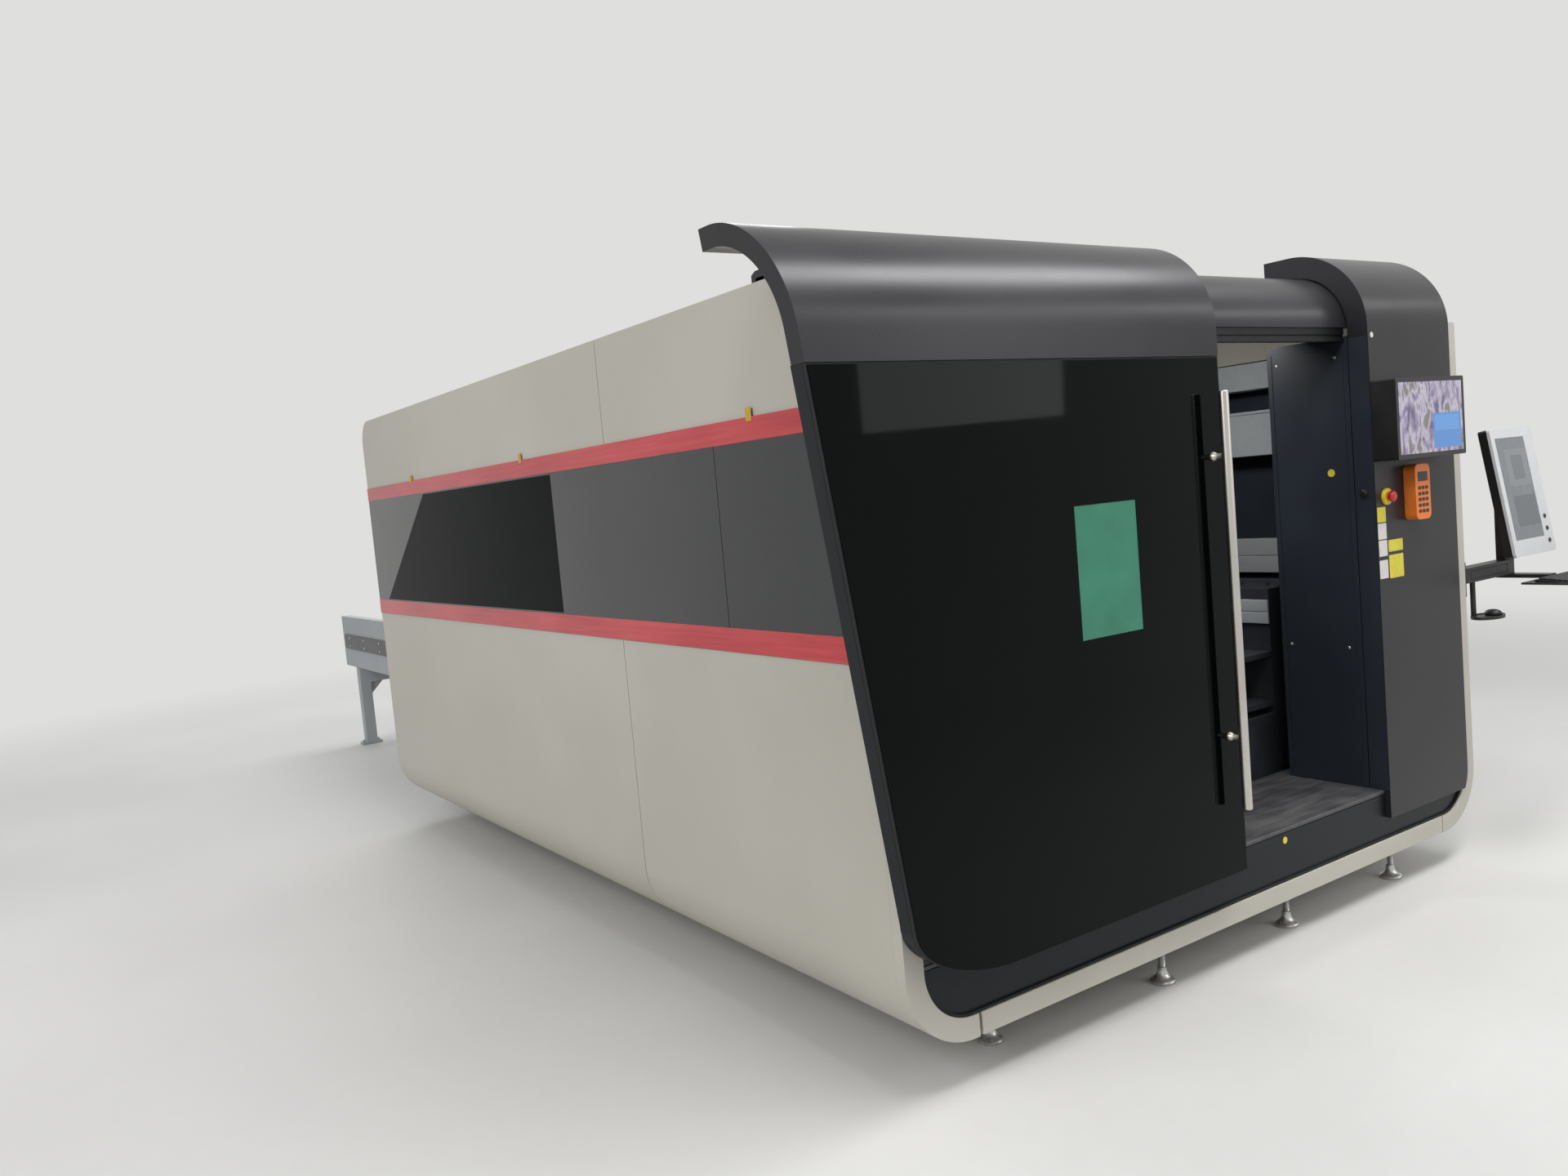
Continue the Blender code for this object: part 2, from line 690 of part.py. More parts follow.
# Underside sheet with the feet behind the front row, and the four front feet
def underside():
    seam = RIM_SEAM_X - SEAM / 2
    piece = block("underside_panel", -seam, seam, RIM_DEPTH + SEAT, SHELL_LENGTH, SHELL_BASE,
                  SHELL_BASE + SKIN)
    for row in range(3):
        y = FEET_REAR_Y - row * FOOT_PITCH
        for side, x in (("left", -FEET_X), ("right", FEET_X)):
            name = "underside_foot_" + side + "_" + str(row + 1)
            join(piece, turned(name, foot_profile(SHELL_BASE + SKIN / 2), (x, y, 0.0), PIN_SIDES))
    finish(piece, "cream_paint", root)
    for number, x in enumerate((-FEET_X, -FEET_X / 3, FEET_X / 3, FEET_X)):
        y = CORNER_FOOT_Y if number == 0 else FRONT_FEET_Y
        foot = turned("front_foot_" + str(number + 1), foot_profile(SHELL_BASE - SEAT),
                      (x, y, 0.0), PIN_SIDES)
        finish(foot, "bare_steel", root)


# Rear wall with the pallet slot and the fume spigot
def rear_wall():
    edge = SKIN + SEAT
    left = u_path(edge, SHELL_TOP - REAR_RADIUS - SKIN - SEAT)
    outline = left + mirrored(left)
    wall_back = SHELL_LENGTH - SKIN / 2
    wall_front = wall_back - SKIN
    slot = TABLE_OUTER + SLOT_MARGIN
    bore = SPIGOT_RADIUS - SPIGOT_WALL
    spigot = (SPIGOT_X, SPIGOT_Z)
    holes = [box_outline(-slot, slot, TABLE_BASE - SLOT_MARGIN, BED_TOP),
             circle(spigot, bore - SPIGOT_WALL, DUCT_SIDES)]
    piece = prism("rear_wall", outline, "XZ", wall_front, wall_back, holes)
    join(piece, prism("rear_wall_spigot", circle(spigot, SPIGOT_RADIUS, DUCT_SIDES), "XZ",
                      wall_back - SKIN / 2, wall_back + SPIGOT_LENGTH,
                      [circle(spigot, bore, DUCT_SIDES)]))
    finish(piece, "cream_paint", root)


# Roof sheet, bent down at the rear to meet the rear wall
def roof():
    back = SHELL_LENGTH - SKIN / 2
    centre = (SHELL_LENGTH - REAR_RADIUS, SHELL_TOP - REAR_RADIUS)
    radius = back - centre[0]
    drop = ROOF_TOP - centre[1]
    bend = []
    for step in range(ARC_STEPS + 1):
        angle = math.radians(90 * step / ARC_STEPS)
        bend.append((centre[0] + radius * math.sin(angle), centre[1] + drop * math.cos(angle)))
    path = [(MID_REAR + MID_THICK + SEAT, ROOF_TOP)] + bend + [(back, centre[1] - SKIN)]
    half = SKIN_INNER - SEAT
    piece = prism("roof_panel", thickened(path, SKIN), "YZ", -half, half)
    for number, y in enumerate((SKIN_SEAM_Y, (SKIN_SEAM_Y + SHELL_LENGTH) / 2)):
        cut(piece, block("roof_panel_joint_" + str(number + 1), -half - SKIN, half + SKIN,
                         y - SEAM / 2, y + SEAM / 2, ROOF_TOP - SKIN / 3, ROOF_TOP + SKIN))
    finish(piece, "cream_paint", root)


# Red stripes, dark band and side window on both flanks
def side_bands():
    end = SHELL_LENGTH - BAND_END_GAP
    low_top = BAND_LOW + LOW_STRIPE
    high_base = BAND_HIGH - HIGH_STRIPE
    band_low = low_top + SEAT
    band_high = high_base - SEAT
    slope = (WINDOW_LOW_END - WINDOW_TOP_END) / (band_high - band_low)

    def window(edge, gap):
        """The window's outline: upright in front, slanted behind."""
        low = band_low + edge + gap
        high = band_high - edge - gap
        low_end = WINDOW_LOW_END - slope * (low - band_low) - gap
        high_end = WINDOW_TOP_END + slope * (band_high - high) - gap
        return [(WINDOW_START + gap, low), (low_end, low), (high_end, high),
                (WINDOW_START + gap, high)]

    for side, sign in (("left", -1), ("right", 1)):
        wall = sign * (HALF_WIDTH + SEAT)
        stripe_span = sorted((wall, wall + sign * STRIPE_THICK))
        band_span = sorted((wall, wall + sign * BAND_THICK))
        stripes = (("lower", BAND_LOW, low_top), ("upper", high_base, BAND_HIGH))
        for level, low, high in stripes:
            name = "red_stripe_" + level + "_" + side
            piece = prism(name, box_outline(BAND_START, end, low, high), "YZ", *stripe_span)
            finish(soften(piece, STRIPE_EDGE), "red_acrylic", root)
        piece = prism("dark_band_" + side, box_outline(BAND_START, end, band_low, band_high),
                      "YZ", *band_span, holes=[window(WINDOW_EDGE, 0.0)])
        face = wall + sign * BAND_THICK
        groove = sorted((face - sign * BAND_THICK / 2, face + sign * BAND_THICK))
        cut(piece, prism("dark_band_joint_" + side,
                         box_outline(BAND_JOINT_Y, BAND_JOINT_Y + SEAM, band_low - SEAM,
                                     band_high + SEAM), "YZ", *groove))
        finish(piece, "grey_acrylic", root)
        pane = prism("side_window_" + side, window(WINDOW_EDGE, SHEET_GAP), "YZ", *band_span)
        finish(pane, "black_glass", root)


# Base panel between the rim's lower corners, sill plate and fixed left panel
def front_panels():
    edge = RIM_WIDTH + CORNER_GAP
    left = u_path(edge, SILL_BASE - SEAT)
    piece = prism("base_panel", left + mirrored(left), "XZ", BASE_FRONT, BASE_FRONT + BASE_THICK)
    finish(piece, "charcoal_paint", root)
    half = RIM_INNER - SEAT
    sill = block("sill_plate", -half, half, BASE_FRONT, BASE_FRONT + SILL_DEPTH, SILL_BASE,
                 SILL_TOP)
    finish(soften(sill, SHEET_EDGE), "charcoal_paint", root)
    panel = block("fixed_front_panel", -half, DOOR_RIGHT - FIXED_PANEL_LAP, BASE_FRONT,
                  BASE_FRONT + BASE_THICK, SILL_TOP + SEAT, FIXED_PANEL_TOP)
    finish(soften(panel, FINE_EDGE), "charcoal_paint", root)


# Recessed hood over the doorway, with the track that the door hangs on welded to its lip
def doorway_hood():
    centre = (MID_FRONT + MID_RADIUS, MID_ARC_Z)
    path = arc(centre, MID_RADIUS, 180, 90)
    crest = MID_ARC_Z + MID_RADIUS
    path += [(MID_REAR, crest), (MID_REAR + MID_THICK, crest - MID_THICK / 2)]
    path.append((MID_REAR + MID_THICK, ROOF_TOP - SKIN))
    half = SKIN_INNER - SEAT
    piece = prism("doorway_hood", thickened(path, MID_THICK), "YZ", -half, half)
    join(piece, block("doorway_hood_track", -RIM_INNER + SKIN, COVER_LEFT - TRACK_END_GAP,
                      TRACK_FRONT, TRACK_FRONT + TRACK_THICK, TRACK_BASE,
                      MID_ARC_Z + MID_THICK / 2))
    finish(piece, "charcoal_paint", root)


# Cover at the right, its hood, and the cabinet behind it
def right_section():
    centre = (COVER_FRONT + COVER_RADIUS, COVER_ARC_Z)
    crest = COVER_ARC_Z + COVER_RADIUS
    back = COVER_FRONT + COVER_THICK
    outer = [(COVER_FRONT, COVER_BASE)] + arc(centre, COVER_RADIUS, 180, 90)
    outer += [(COVER_REAR, crest)]
    inner = [(COVER_REAR, crest - COVER_THICK)]
    inner += arc(centre, COVER_RADIUS - COVER_THICK, 90, 180)
    step = SILL_TOP + SEAT
    inner += [(back, step), (BASE_FRONT - SEAT, step), (BASE_FRONT - SEAT, COVER_BASE)]
    right = RIM_INNER - SEAT
    piece = prism("right_cover", outer + inner, "YZ", COVER_LEFT, right)
    radius = CORNER_RADIUS - RIM_WIDTH - CORNER_GAP
    cut(piece, corner_cutter("right_cover_corner", (CORNER_X, CORNER_Z), radius, 270, "XZ",
                             COVER_FRONT - RIM_DEPTH, back + RIM_DEPTH))
    finish(soften(piece, HOOD_EDGE, 2), "charcoal_paint", root)
    cabinet = block("control_cabinet", COVER_LEFT, RIM_INNER - CABINET_SIDE_GAP,
                    back + SEAT, back + CABINET_DEPTH, SILL_TOP + SEAT,
                    CABINET_TOP)
    finish(soften(cabinet, SHEET_EDGE), "charcoal_paint", root)


def slant_x(z):
    """The door's slanted left edge at a height."""
    return DOOR_LOW_LEFT + DOOR_SLANT * (z - DOOR_SLANT_BASE)


def door_outline(left_inset, gap):
    """The door from the front, with a slanted left edge and a rounded lower left corner."""
    reach = DOOR_CORNER - left_inset - gap
    rise = DOOR_SLANT_BASE - DOOR_BASE - gap
    middle = DOOR_LOW_LEFT + DOOR_CORNER
    top = DOOR_TOP - SEAT - gap
    right = DOOR_RIGHT - gap
    outline = [(slant_x(top) + left_inset + gap, top)]
    for step in range(ARC_STEPS + 1):
        angle = math.radians(180 + 90 * step / ARC_STEPS)
        outline.append((middle + reach * math.cos(angle),
                        DOOR_SLANT_BASE + rise * math.sin(angle)))
    return outline + [(right, DOOR_BASE + gap), (right, top)]


# Sliding door: leaf with hangers, glass, laser filter window, hood and pull handle
def door():
    leaf = prism("door_leaf", door_outline(0.0, 0.0), "XZ", GLASS_BACK, DOOR_BACK)
    soften(leaf, FINE_EDGE)
    window_left = DOOR_RIGHT - SAFETY_LEFT
    window_right = window_left + SAFETY_WIDTH
    window_high = SAFETY_LOW + SAFETY_HEIGHT
    ledge = SAFETY_LEDGE
    cut(leaf, block("door_window_way", window_left + ledge, window_right - ledge,
                    DOOR_FRONT, DOOR_BACK + SKIN, SAFETY_LOW + ledge, window_high - ledge))
    for number, x in enumerate((DOOR_LOW_LEFT + HANGER_INSET,
                                DOOR_RIGHT - HANGER_INSET - HANGER_WIDTH)):
        plate = "door_hanger_" + str(number + 1)
        join(leaf, block(plate + "_plate", x, x + HANGER_WIDTH, DOOR_BACK - HANGER_SINK,
                         DOOR_BACK + DOOR_CLEAR, DOOR_TOP - HANGER_WIDTH, HANGER_HIGH))
        join(leaf, block(plate + "_shoe", x, x + HANGER_WIDTH, DOOR_BACK, TRACK_FRONT - RUNNING,
                         HANGER_HIGH - HANGER_THICK, HANGER_HIGH))
        join(leaf, block(plate + "_guide", x, x + HANGER_WIDTH, DOOR_BACK - HANGER_SINK,
                         BASE_FRONT - RUNNING, SHOE_BASE, SHOE_TOP))
    finish(leaf, "charcoal_paint", door_frame)
    glass = prism("door_glass", door_outline(GLASS_INSET, SHEET_GAP), "XZ", DOOR_FRONT,
                  GLASS_BACK - SEAT)
    cut(glass, block("door_glass_window", window_left - SEAT, window_right + SEAT,
                     DOOR_FRONT - SKIN, GLASS_BACK + SKIN, SAFETY_LOW - SEAT,
                     window_high + SEAT))
    finish(glass, "black_glass", door_frame)
    window = block("laser_filter_window", window_left, window_right, DOOR_FRONT + SHEET_GAP,
                   GLASS_BACK - SEAT, SAFETY_LOW, window_high)
    finish(window, "green_filter", door_frame)
    hood_centre = (DOOR_FRONT + HOOD_RADIUS, HOOD_ARC_Z)
    path = [(DOOR_FRONT, DOOR_TOP)] + arc(hood_centre, HOOD_RADIUS, 180, 90, HOOD_STEPS)
    path.append((HOOD_REAR, HOOD_CREST))
    beyond = LEFT_END - 2 * SKIN
    low = DOOR_TOP - SKIN
    high = HOOD_CREST + SKIN
    hood = prism("door_hood", thickened(path, HOOD_THICK - DOOR_CLEAR), "YZ", beyond, DOOR_RIGHT)
    soften(hood, HOOD_EDGE, 2)
    cut(hood, prism("door_hood_slant", [(slant_x(low), low), (slant_x(high), high),
                                        (beyond - SKIN, high), (beyond - SKIN, low)], "XZ",
                    DOOR_FRONT - SKIN, HOOD_REAR + SKIN))
    for number, x in enumerate((DOOR_LOW_LEFT + HANGER_INSET,
                                DOOR_RIGHT - HANGER_INSET - HANGER_WIDTH)):
        cut(hood, block("door_hood_relief_" + str(number + 1), x - SHEET_GAP,
                        x + HANGER_WIDTH + SHEET_GAP, DOOR_BACK - HANGER_SINK - SHEET_GAP,
                        DOOR_BACK + SKIN, DOOR_TOP - SKIN, HANGER_HIGH + SHEET_GAP))
    finish(hood, "charcoal_paint", door_frame)
    handle_x = DOOR_RIGHT - HANDLE_INSET
    handle_y = DOOR_FRONT - HANDLE_REACH
    handle = rod("pull_handle", HANDLE_RADIUS, "Z", HANDLE_LOW, HANDLE_HIGH,
                 (handle_x, handle_y), BAR_SIDES)
    for name, z in (("lower", STUD_LOW), ("upper", STUD_HIGH)):
        join(handle, rod("pull_handle_stud_" + name, STUD_RADIUS, "Y", handle_y,
                         DOOR_FRONT - SEAT, (handle_x, z)))
    finish(handle, "bare_steel", door_frame)


# Bed: two side beams with pallet ledges and a linear rail, and two cross beams
def bed():
    rail = (RAIL_X - RAIL_WIDTH / 2, RAIL_X + RAIL_WIDTH / 2)
    ledge = PALLET_HALF - LEDGE
    right = [
        (BED_INNER, FLOOR_TOP),
        (BED_OUTER, FLOOR_TOP),
        (BED_OUTER, BED_TOP),
        (rail[1], BED_TOP),
        (rail[1], BED_TOP + RAIL_HEIGHT),
        (rail[0], BED_TOP + RAIL_HEIGHT),
        (rail[0], BED_TOP),
        (BED_INNER, BED_TOP),
    ]
    for level in (UPPER_LEVEL, LOWER_LEVEL):
        right += [(BED_INNER, level - SEAT), (ledge, level - SEAT),
                  (ledge, level - LEDGE_THICK), (BED_INNER, level - LEDGE_THICK)]
    for side, outline in (("left", mirrored(right)), ("right", right)):
        piece = prism("bed_side_" + side, outline, "XZ", BED_FRONT, BED_REAR)
        finish(piece, "grey_paint", root)
    inner = BED_INNER - SEAT
    for name, y in (("front", BED_FRONT), ("rear", BED_REAR - CROSS_DEPTH)):
        piece = block("bed_cross_" + name, -inner, inner, y, y + CROSS_DEPTH, FLOOR_TOP,
                      CROSS_TOP)
        finish(soften(piece, HOOD_EDGE), "grey_paint", root)
    outer = SKIN_INNER - SEAT
    tray = [(outer - TRAY_WIDTH, TRAY_LOW), (outer, TRAY_LOW), (outer, TRAY_LOW + TRAY_HEIGHT),
            (outer - TRAY_WIDTH, TRAY_LOW + TRAY_HEIGHT)]
    piece = prism("cable_trunking", tray, "XZ", BED_FRONT, BED_REAR)
    finish(soften(piece, HOOD_EDGE), "grey_paint", root)


# Gantry bridge, carriage and cutting head
def gantry():
    front = GANTRY_Y - GANTRY_DEPTH / 2
    truck_base = BED_TOP + RAIL_HEIGHT + RUNNING
    bridge = [
        (-TRUCK_OUTER, truck_base),
        (-TRUCK_INNER, truck_base),
        (-TRUCK_INNER, BEAM_BASE),
        (TRUCK_INNER, BEAM_BASE),
        (TRUCK_INNER, truck_base),
        (TRUCK_OUTER, truck_base),
        (TRUCK_OUTER, GANTRY_TOP - GANTRY_CHAMFER),
        (TRUCK_OUTER - GANTRY_CHAMFER, GANTRY_TOP),
        (-TRUCK_OUTER + GANTRY_CHAMFER, GANTRY_TOP),
        (-TRUCK_OUTER, GANTRY_TOP - GANTRY_CHAMFER),
    ]
    beam = prism("gantry_beam", bridge, "XZ", front, front + GANTRY_DEPTH)
    finish(soften(beam, BEAM_EDGE), "grey_paint", gantry_frame)
    carriage_front = front - RUNNING - CARRIAGE_THICK
    carriage = block("head_carriage", CARRIAGE_X - CARRIAGE_WIDTH / 2,
                     CARRIAGE_X + CARRIAGE_WIDTH / 2, carriage_front, front - RUNNING,
                     CARRIAGE_LOW, CARRIAGE_HIGH)
    finish(soften(carriage, BLOCK_EDGE, 2), "charcoal_paint", carriage_frame)
    head_y = carriage_front - HEAD_REACH
    profile = [
        (0.0, HEAD_TOP),
        (HEAD_NECK_RADIUS, HEAD_TOP),
        (HEAD_RADIUS, HEAD_TOP - HEAD_SHOULDER),
        (HEAD_RADIUS, HEAD_PLATE_LOW),
        (LENS_RADIUS, HEAD_PLATE_LOW - LENS_STEP),
    ]
    profile += [(radius, NOZZLE_TIP + height) for radius, height in NOZZLE_RINGS]
    profile.append((0.0, NOZZLE_TIP))
    head = turned("cutting_head", profile, (CARRIAGE_X, head_y, 0.0), BAR_SIDES)
    join(head, block("cutting_head_plate", CARRIAGE_X - HEAD_PLATE_HALF,
                     CARRIAGE_X + HEAD_PLATE_HALF, head_y, carriage_front - RUNNING,
                     HEAD_PLATE_LOW, HEAD_TOP - HEAD_PLATE_DROP))
    finish(head, "bare_steel", head_frame)


# Slatted pallets, the upper inside the machine and the lower out on the table
def pallets():
    length = PALLET_LENGTH - 2 * PALLET_BORDER
    count = int(length / SLAT_PITCH)
    pitch = length / count
    inner = PALLET_HALF - PALLET_BORDER
    levels = (("upper", PALLET_Y, UPPER_LEVEL, upper_frame),
              ("lower", PALLET_Y + EXCHANGE_TRAVEL, LOWER_LEVEL, lower_frame))
    for name, start, level, frame in levels:
        holes = []
        for number in range(count):
            low = start + PALLET_BORDER + number * pitch
            holes.append(box_outline(-inner, inner, low + SLAT_THICK / 2,
                                     low + pitch - SLAT_THICK / 2))
        outline = box_outline(-PALLET_HALF, PALLET_HALF, start, start + PALLET_LENGTH)
        piece = prism(name + "_pallet", outline, "XY", level, level + PALLET_HEIGHT, holes)
        finish(piece, "slat_steel", frame)


# Exchange table behind the machine
def exchange_table():
    ledge = PALLET_HALF - LEDGE
    right = [(TABLE_INNER, TABLE_BASE), (TABLE_OUTER, TABLE_BASE), (TABLE_OUTER, TABLE_TOP),
             (TABLE_INNER, TABLE_TOP)]
    for level in (UPPER_LEVEL, LOWER_LEVEL):
        right += [(TABLE_INNER, level - SEAT), (ledge, level - SEAT),
                  (ledge, level - LEDGE_THICK), (TABLE_INNER, level - LEDGE_THICK)]
    for side, outline in (("left", mirrored(right)), ("right", right)):
        piece = prism("table_beam_" + side, outline, "XZ", BED_REAR + SEAT, TABLE_END)
        finish(piece, "grey_paint", root)
    leg_outer = TABLE_OUTER
    leg_inner = leg_outer - LEG_WIDTH
    top = TABLE_BASE - SEAT
    half = [
        (0.0, TRESTLE_RAIL),
        (leg_inner, TRESTLE_RAIL),
        (leg_inner, LEG_PAD_THICK),
        (leg_inner - LEG_PAD, LEG_PAD_THICK),
        (leg_inner - LEG_PAD, 0.0),
        (leg_outer + LEG_PAD, 0.0),
        (leg_outer + LEG_PAD, LEG_PAD_THICK),
        (leg_outer, LEG_PAD_THICK),
        (leg_outer, top),
        (0.0, top),
    ]
    outline = half[1:-1] + mirrored(half[1:-1])
    for name, y in (("front", TRESTLE_FRONT_Y), ("rear", TRESTLE_REAR_Y)):
        piece = prism("table_trestle_" + name, outline, "XZ", y, y + TRESTLE_DEPTH)
        finish(piece, "grey_paint", root)


# Monitor, stop button and hand remote on the right cover
def cover_controls():
    left = COVER_LEFT + MONITOR_INSET
    front = COVER_FRONT - MONITOR_DEPTH
    case = block("monitor_case", left, left + MONITOR_WIDTH, front, COVER_FRONT - SEAT,
                 MONITOR_LOW, MONITOR_LOW + MONITOR_HEIGHT)
    cut(case, block("monitor_pocket", left + BEZEL, left + MONITOR_WIDTH - BEZEL,
                    front - SKIN, front + SCREEN_THICK,
                    MONITOR_LOW + BEZEL, MONITOR_LOW + MONITOR_HEIGHT - BEZEL))
    finish(case, "black_plastic", root)
    screen = block("monitor_screen", left + BEZEL + SEAT, left + MONITOR_WIDTH - BEZEL - SEAT,
                   front + SEAT, front + SCREEN_THICK - SEAT,
                   MONITOR_LOW + BEZEL + SEAT, MONITOR_LOW + MONITOR_HEIGHT - BEZEL - SEAT)
    finish(screen, "screen_glass", root)
    stop_x = COVER_LEFT + STOP_INSET
    ring = STOP_RING_THICK
    bore = STOP_STEM + RUNNING
    profile = [(bore, 0.0), (STOP_RING_TOP, 0.0), (STOP_RING, -STOP_RING_EDGE),
               (STOP_RING, -ring), (bore, -ring)]
    base = turned("stop_base", profile, (stop_x, COVER_FRONT - SEAT - ring, STOP_Z), BAR_SIDES,
                  (math.pi / 2, 0, 0))
    close_ring(base)
    finish(base, "yellow_plastic", root)
    cap = ring + STOP_TRAVEL + SHEET_GAP
    profile = [
        (0.0, cap + STOP_CAP_THICK),
        (STOP_CAP_TOP, cap + STOP_CAP_THICK),
        (STOP_CAP, cap + STOP_CAP_THICK - STOP_CAP_EDGE),
        (STOP_CAP, cap),
        (STOP_STEM, cap),
        (STOP_STEM, STOP_TRAVEL + SHEET_GAP),
        (0.0, STOP_TRAVEL + SHEET_GAP),
    ]
    button = turned("stop_button", profile, (stop_x, COVER_FRONT, STOP_Z), BAR_SIDES,
                    (math.pi / 2, 0, 0))
    finish(button, "red_plastic", stop_frame)
    x = COVER_LEFT + REMOTE_INSET
    corner = REMOTE_CORNER
    low = REMOTE_LOW
    high = REMOTE_LOW + REMOTE_HEIGHT
    right = x + REMOTE_WIDTH
    outline = arc((x + corner, low + corner), corner, 180, 270, REMOTE_STEPS)
    outline += arc((right - corner, low + corner), corner, 270, 360, REMOTE_STEPS)
    outline += arc((right - corner, high - corner), corner, 0, 90, REMOTE_STEPS)
    outline += arc((x + corner, high - corner), corner, 90, 180, REMOTE_STEPS)
    remote = prism("hand_remote", outline, "XZ", COVER_FRONT - REMOTE_THICK,
                   COVER_FRONT - SEAT)
    finish(soften(remote, BEAM_EDGE, 2, 60), "orange_plastic", root)


def close_ring(piece):
    """Joins the last point of a turned ring's profile to its first."""
    work = bmesh.new()
    work.from_mesh(piece.data)
    work.verts.ensure_lookup_table()
    work.edges.new((work.verts[-1], work.verts[0]))
    work.to_mesh(piece.data)
    work.free()


# Console: wall bracket, arm, post with shelf, tilting panel, keyboard and mouse tray
def console():
    low = ARM_LOW - RUNNING - LUG_THICK
    high = ARM_HIGH + RUNNING + LUG_THICK
    wall = HALF_WIDTH + SEAT
    half = BRACKET_WIDTH / 2
    bracket = block("console_bracket", wall, wall + BRACKET_PLATE, ARM_PIVOT_Y - half,
                    ARM_PIVOT_Y + half, low - BRACKET_MARGIN, high + BRACKET_MARGIN / 2)
    for name, z in (("lower", low), ("upper", high - LUG_THICK)):
        lug = [(wall + BRACKET_PLATE / 2, ARM_PIVOT_Y - ARM_RADIUS)]
        lug += arc((ARM_X, ARM_PIVOT_Y), ARM_RADIUS, -90, 90)
        lug.append((wall + BRACKET_PLATE / 2, ARM_PIVOT_Y + ARM_RADIUS))
        join(bracket, prism("console_lug_" + name, lug, "XY", z, z + LUG_THICK))
    join(bracket, rod("console_bracket_pin", PIN_RADIUS, "Z", low + LUG_THICK / 2,
                      high - LUG_THICK / 2, (ARM_X, ARM_PIVOT_Y)))
    finish(bracket, "black_plastic", root)

    outline = arc((ARM_X, ARM_PIVOT_Y), ARM_RADIUS, 90, 270)
    outline += arc((HEAD_X, ARM_PIVOT_Y), ARM_RADIUS, -90, 90)
    holes = [circle((x, ARM_PIVOT_Y), PIN_RADIUS + RUNNING, PIN_SIDES) for x in (ARM_X, HEAD_X)]
    arm = prism("console_arm", outline, "XY", ARM_LOW, ARM_HIGH, holes)
    finish(arm, "black_plastic", arm_frame)

    pivot_base = ARM_LOW - RUNNING
    shelf_y = TRAY_FRONT + TRAY_SHELF_DEPTH
    post_y = ARM_PIVOT_Y - POST_DEPTH / 2
    post = block("console_post", HEAD_X - POST_WIDTH / 2, HEAD_X + POST_WIDTH / 2, post_y,
                 post_y + POST_DEPTH, ARM_HIGH + RUNNING, TILT_Z + POST_RISE)
    join(post, rod("console_post_pin", PIN_RADIUS, "Z", pivot_base - LUG_THICK / 2,
                   ARM_HIGH + LUG_THICK, (HEAD_X, ARM_PIVOT_Y)))
    join(post, block("console_shelf_arm", HEAD_X - POST_WIDTH / 2, HEAD_X + POST_WIDTH / 2,
                     shelf_y - SHELF_LAP, ARM_PIVOT_Y + ARM_RADIUS, pivot_base - LUG_THICK,
                     pivot_base))
    reach = POST_WIDTH / 2 + EAR_GAP + EAR_THICK
    join(post, rod("console_tilt_pin", TILT_PIN, "X", HEAD_X - reach, HEAD_X + reach,
                   (ARM_PIVOT_Y, TILT_Z)))
    finish(post, "black_plastic", console_frame)

    shelf_top = pivot_base - LUG_THICK - SEAT
    shelf = block("keyboard_shelf", HEAD_X - TRAY_SHELF_WIDTH / 2, HEAD_X + TRAY_SHELF_WIDTH / 2,
                  TRAY_FRONT, shelf_y, shelf_top - TRAY_SHELF_THICK, shelf_top)
    finish(soften(shelf, FINE_EDGE), "black_plastic", console_frame)
    board_y = TRAY_FRONT + (TRAY_SHELF_DEPTH - KEYBOARD_DEPTH) / 2
    board_z = shelf_top + SEAT
    wedge = [(board_y, board_z), (board_y + KEYBOARD_DEPTH, board_z),
             (board_y + KEYBOARD_DEPTH, board_z + KEYBOARD_THICK),
             (board_y, board_z + KEYBOARD_THICK / 2)]
    board = prism("keyboard", wedge, "YZ", HEAD_X - KEYBOARD_WIDTH / 2,
                  HEAD_X + KEYBOARD_WIDTH / 2)
    finish(soften(board, SHEET_EDGE, 2), "black_plastic", console_frame)

    tilt = (math.radians(TILT_DEG), 0, 0)
    back = -PANEL_OFFSET + PANEL_THICK / 2
    front = back - PANEL_THICK
    panel = hung_block("touch_panel", -PANEL_WIDTH / 2, PANEL_WIDTH / 2, front, back,
                       -PANEL_HEIGHT / 2, PANEL_HEIGHT / 2, tilt)
    for name, sign in (("left", -1), ("right", 1)):
        inner = POST_WIDTH / 2 + EAR_GAP
        span = sorted((sign * inner, sign * (inner + EAR_THICK)))
        join(panel, hung_block("touch_panel_ear_" + name, *span, back - PANEL_THICK / 4,
                               EAR_BACK, -EAR_HALF, EAR_HALF, tilt))
    bore = rod("touch_panel_bore", TILT_PIN + RUNNING, "X", HEAD_X - PANEL_WIDTH / 4,
               HEAD_X + PANEL_WIDTH / 4, (ARM_PIVOT_Y, TILT_Z))
    cut(panel, bore)
    cut(panel, hung_block("touch_panel_pocket", -SCREEN_WIDTH / 2, SCREEN_WIDTH / 2,
                          front - SKIN, front + SCREEN_THICK,
                          SCREEN_RAISE - SCREEN_HEIGHT / 2, SCREEN_RAISE + SCREEN_HEIGHT / 2,
                          tilt))
    finish(panel, "pale_plastic", panel_frame)
    screen = hung_block("touch_screen", -SCREEN_WIDTH / 2 + SEAT, SCREEN_WIDTH / 2 - SEAT,
                        front + SEAT, front + SCREEN_THICK - SEAT,
                        SCREEN_RAISE - SCREEN_HEIGHT / 2 + SEAT,
                        SCREEN_RAISE + SCREEN_HEIGHT / 2 - SEAT, tilt)
    finish(screen, "screen_glass", panel_frame)

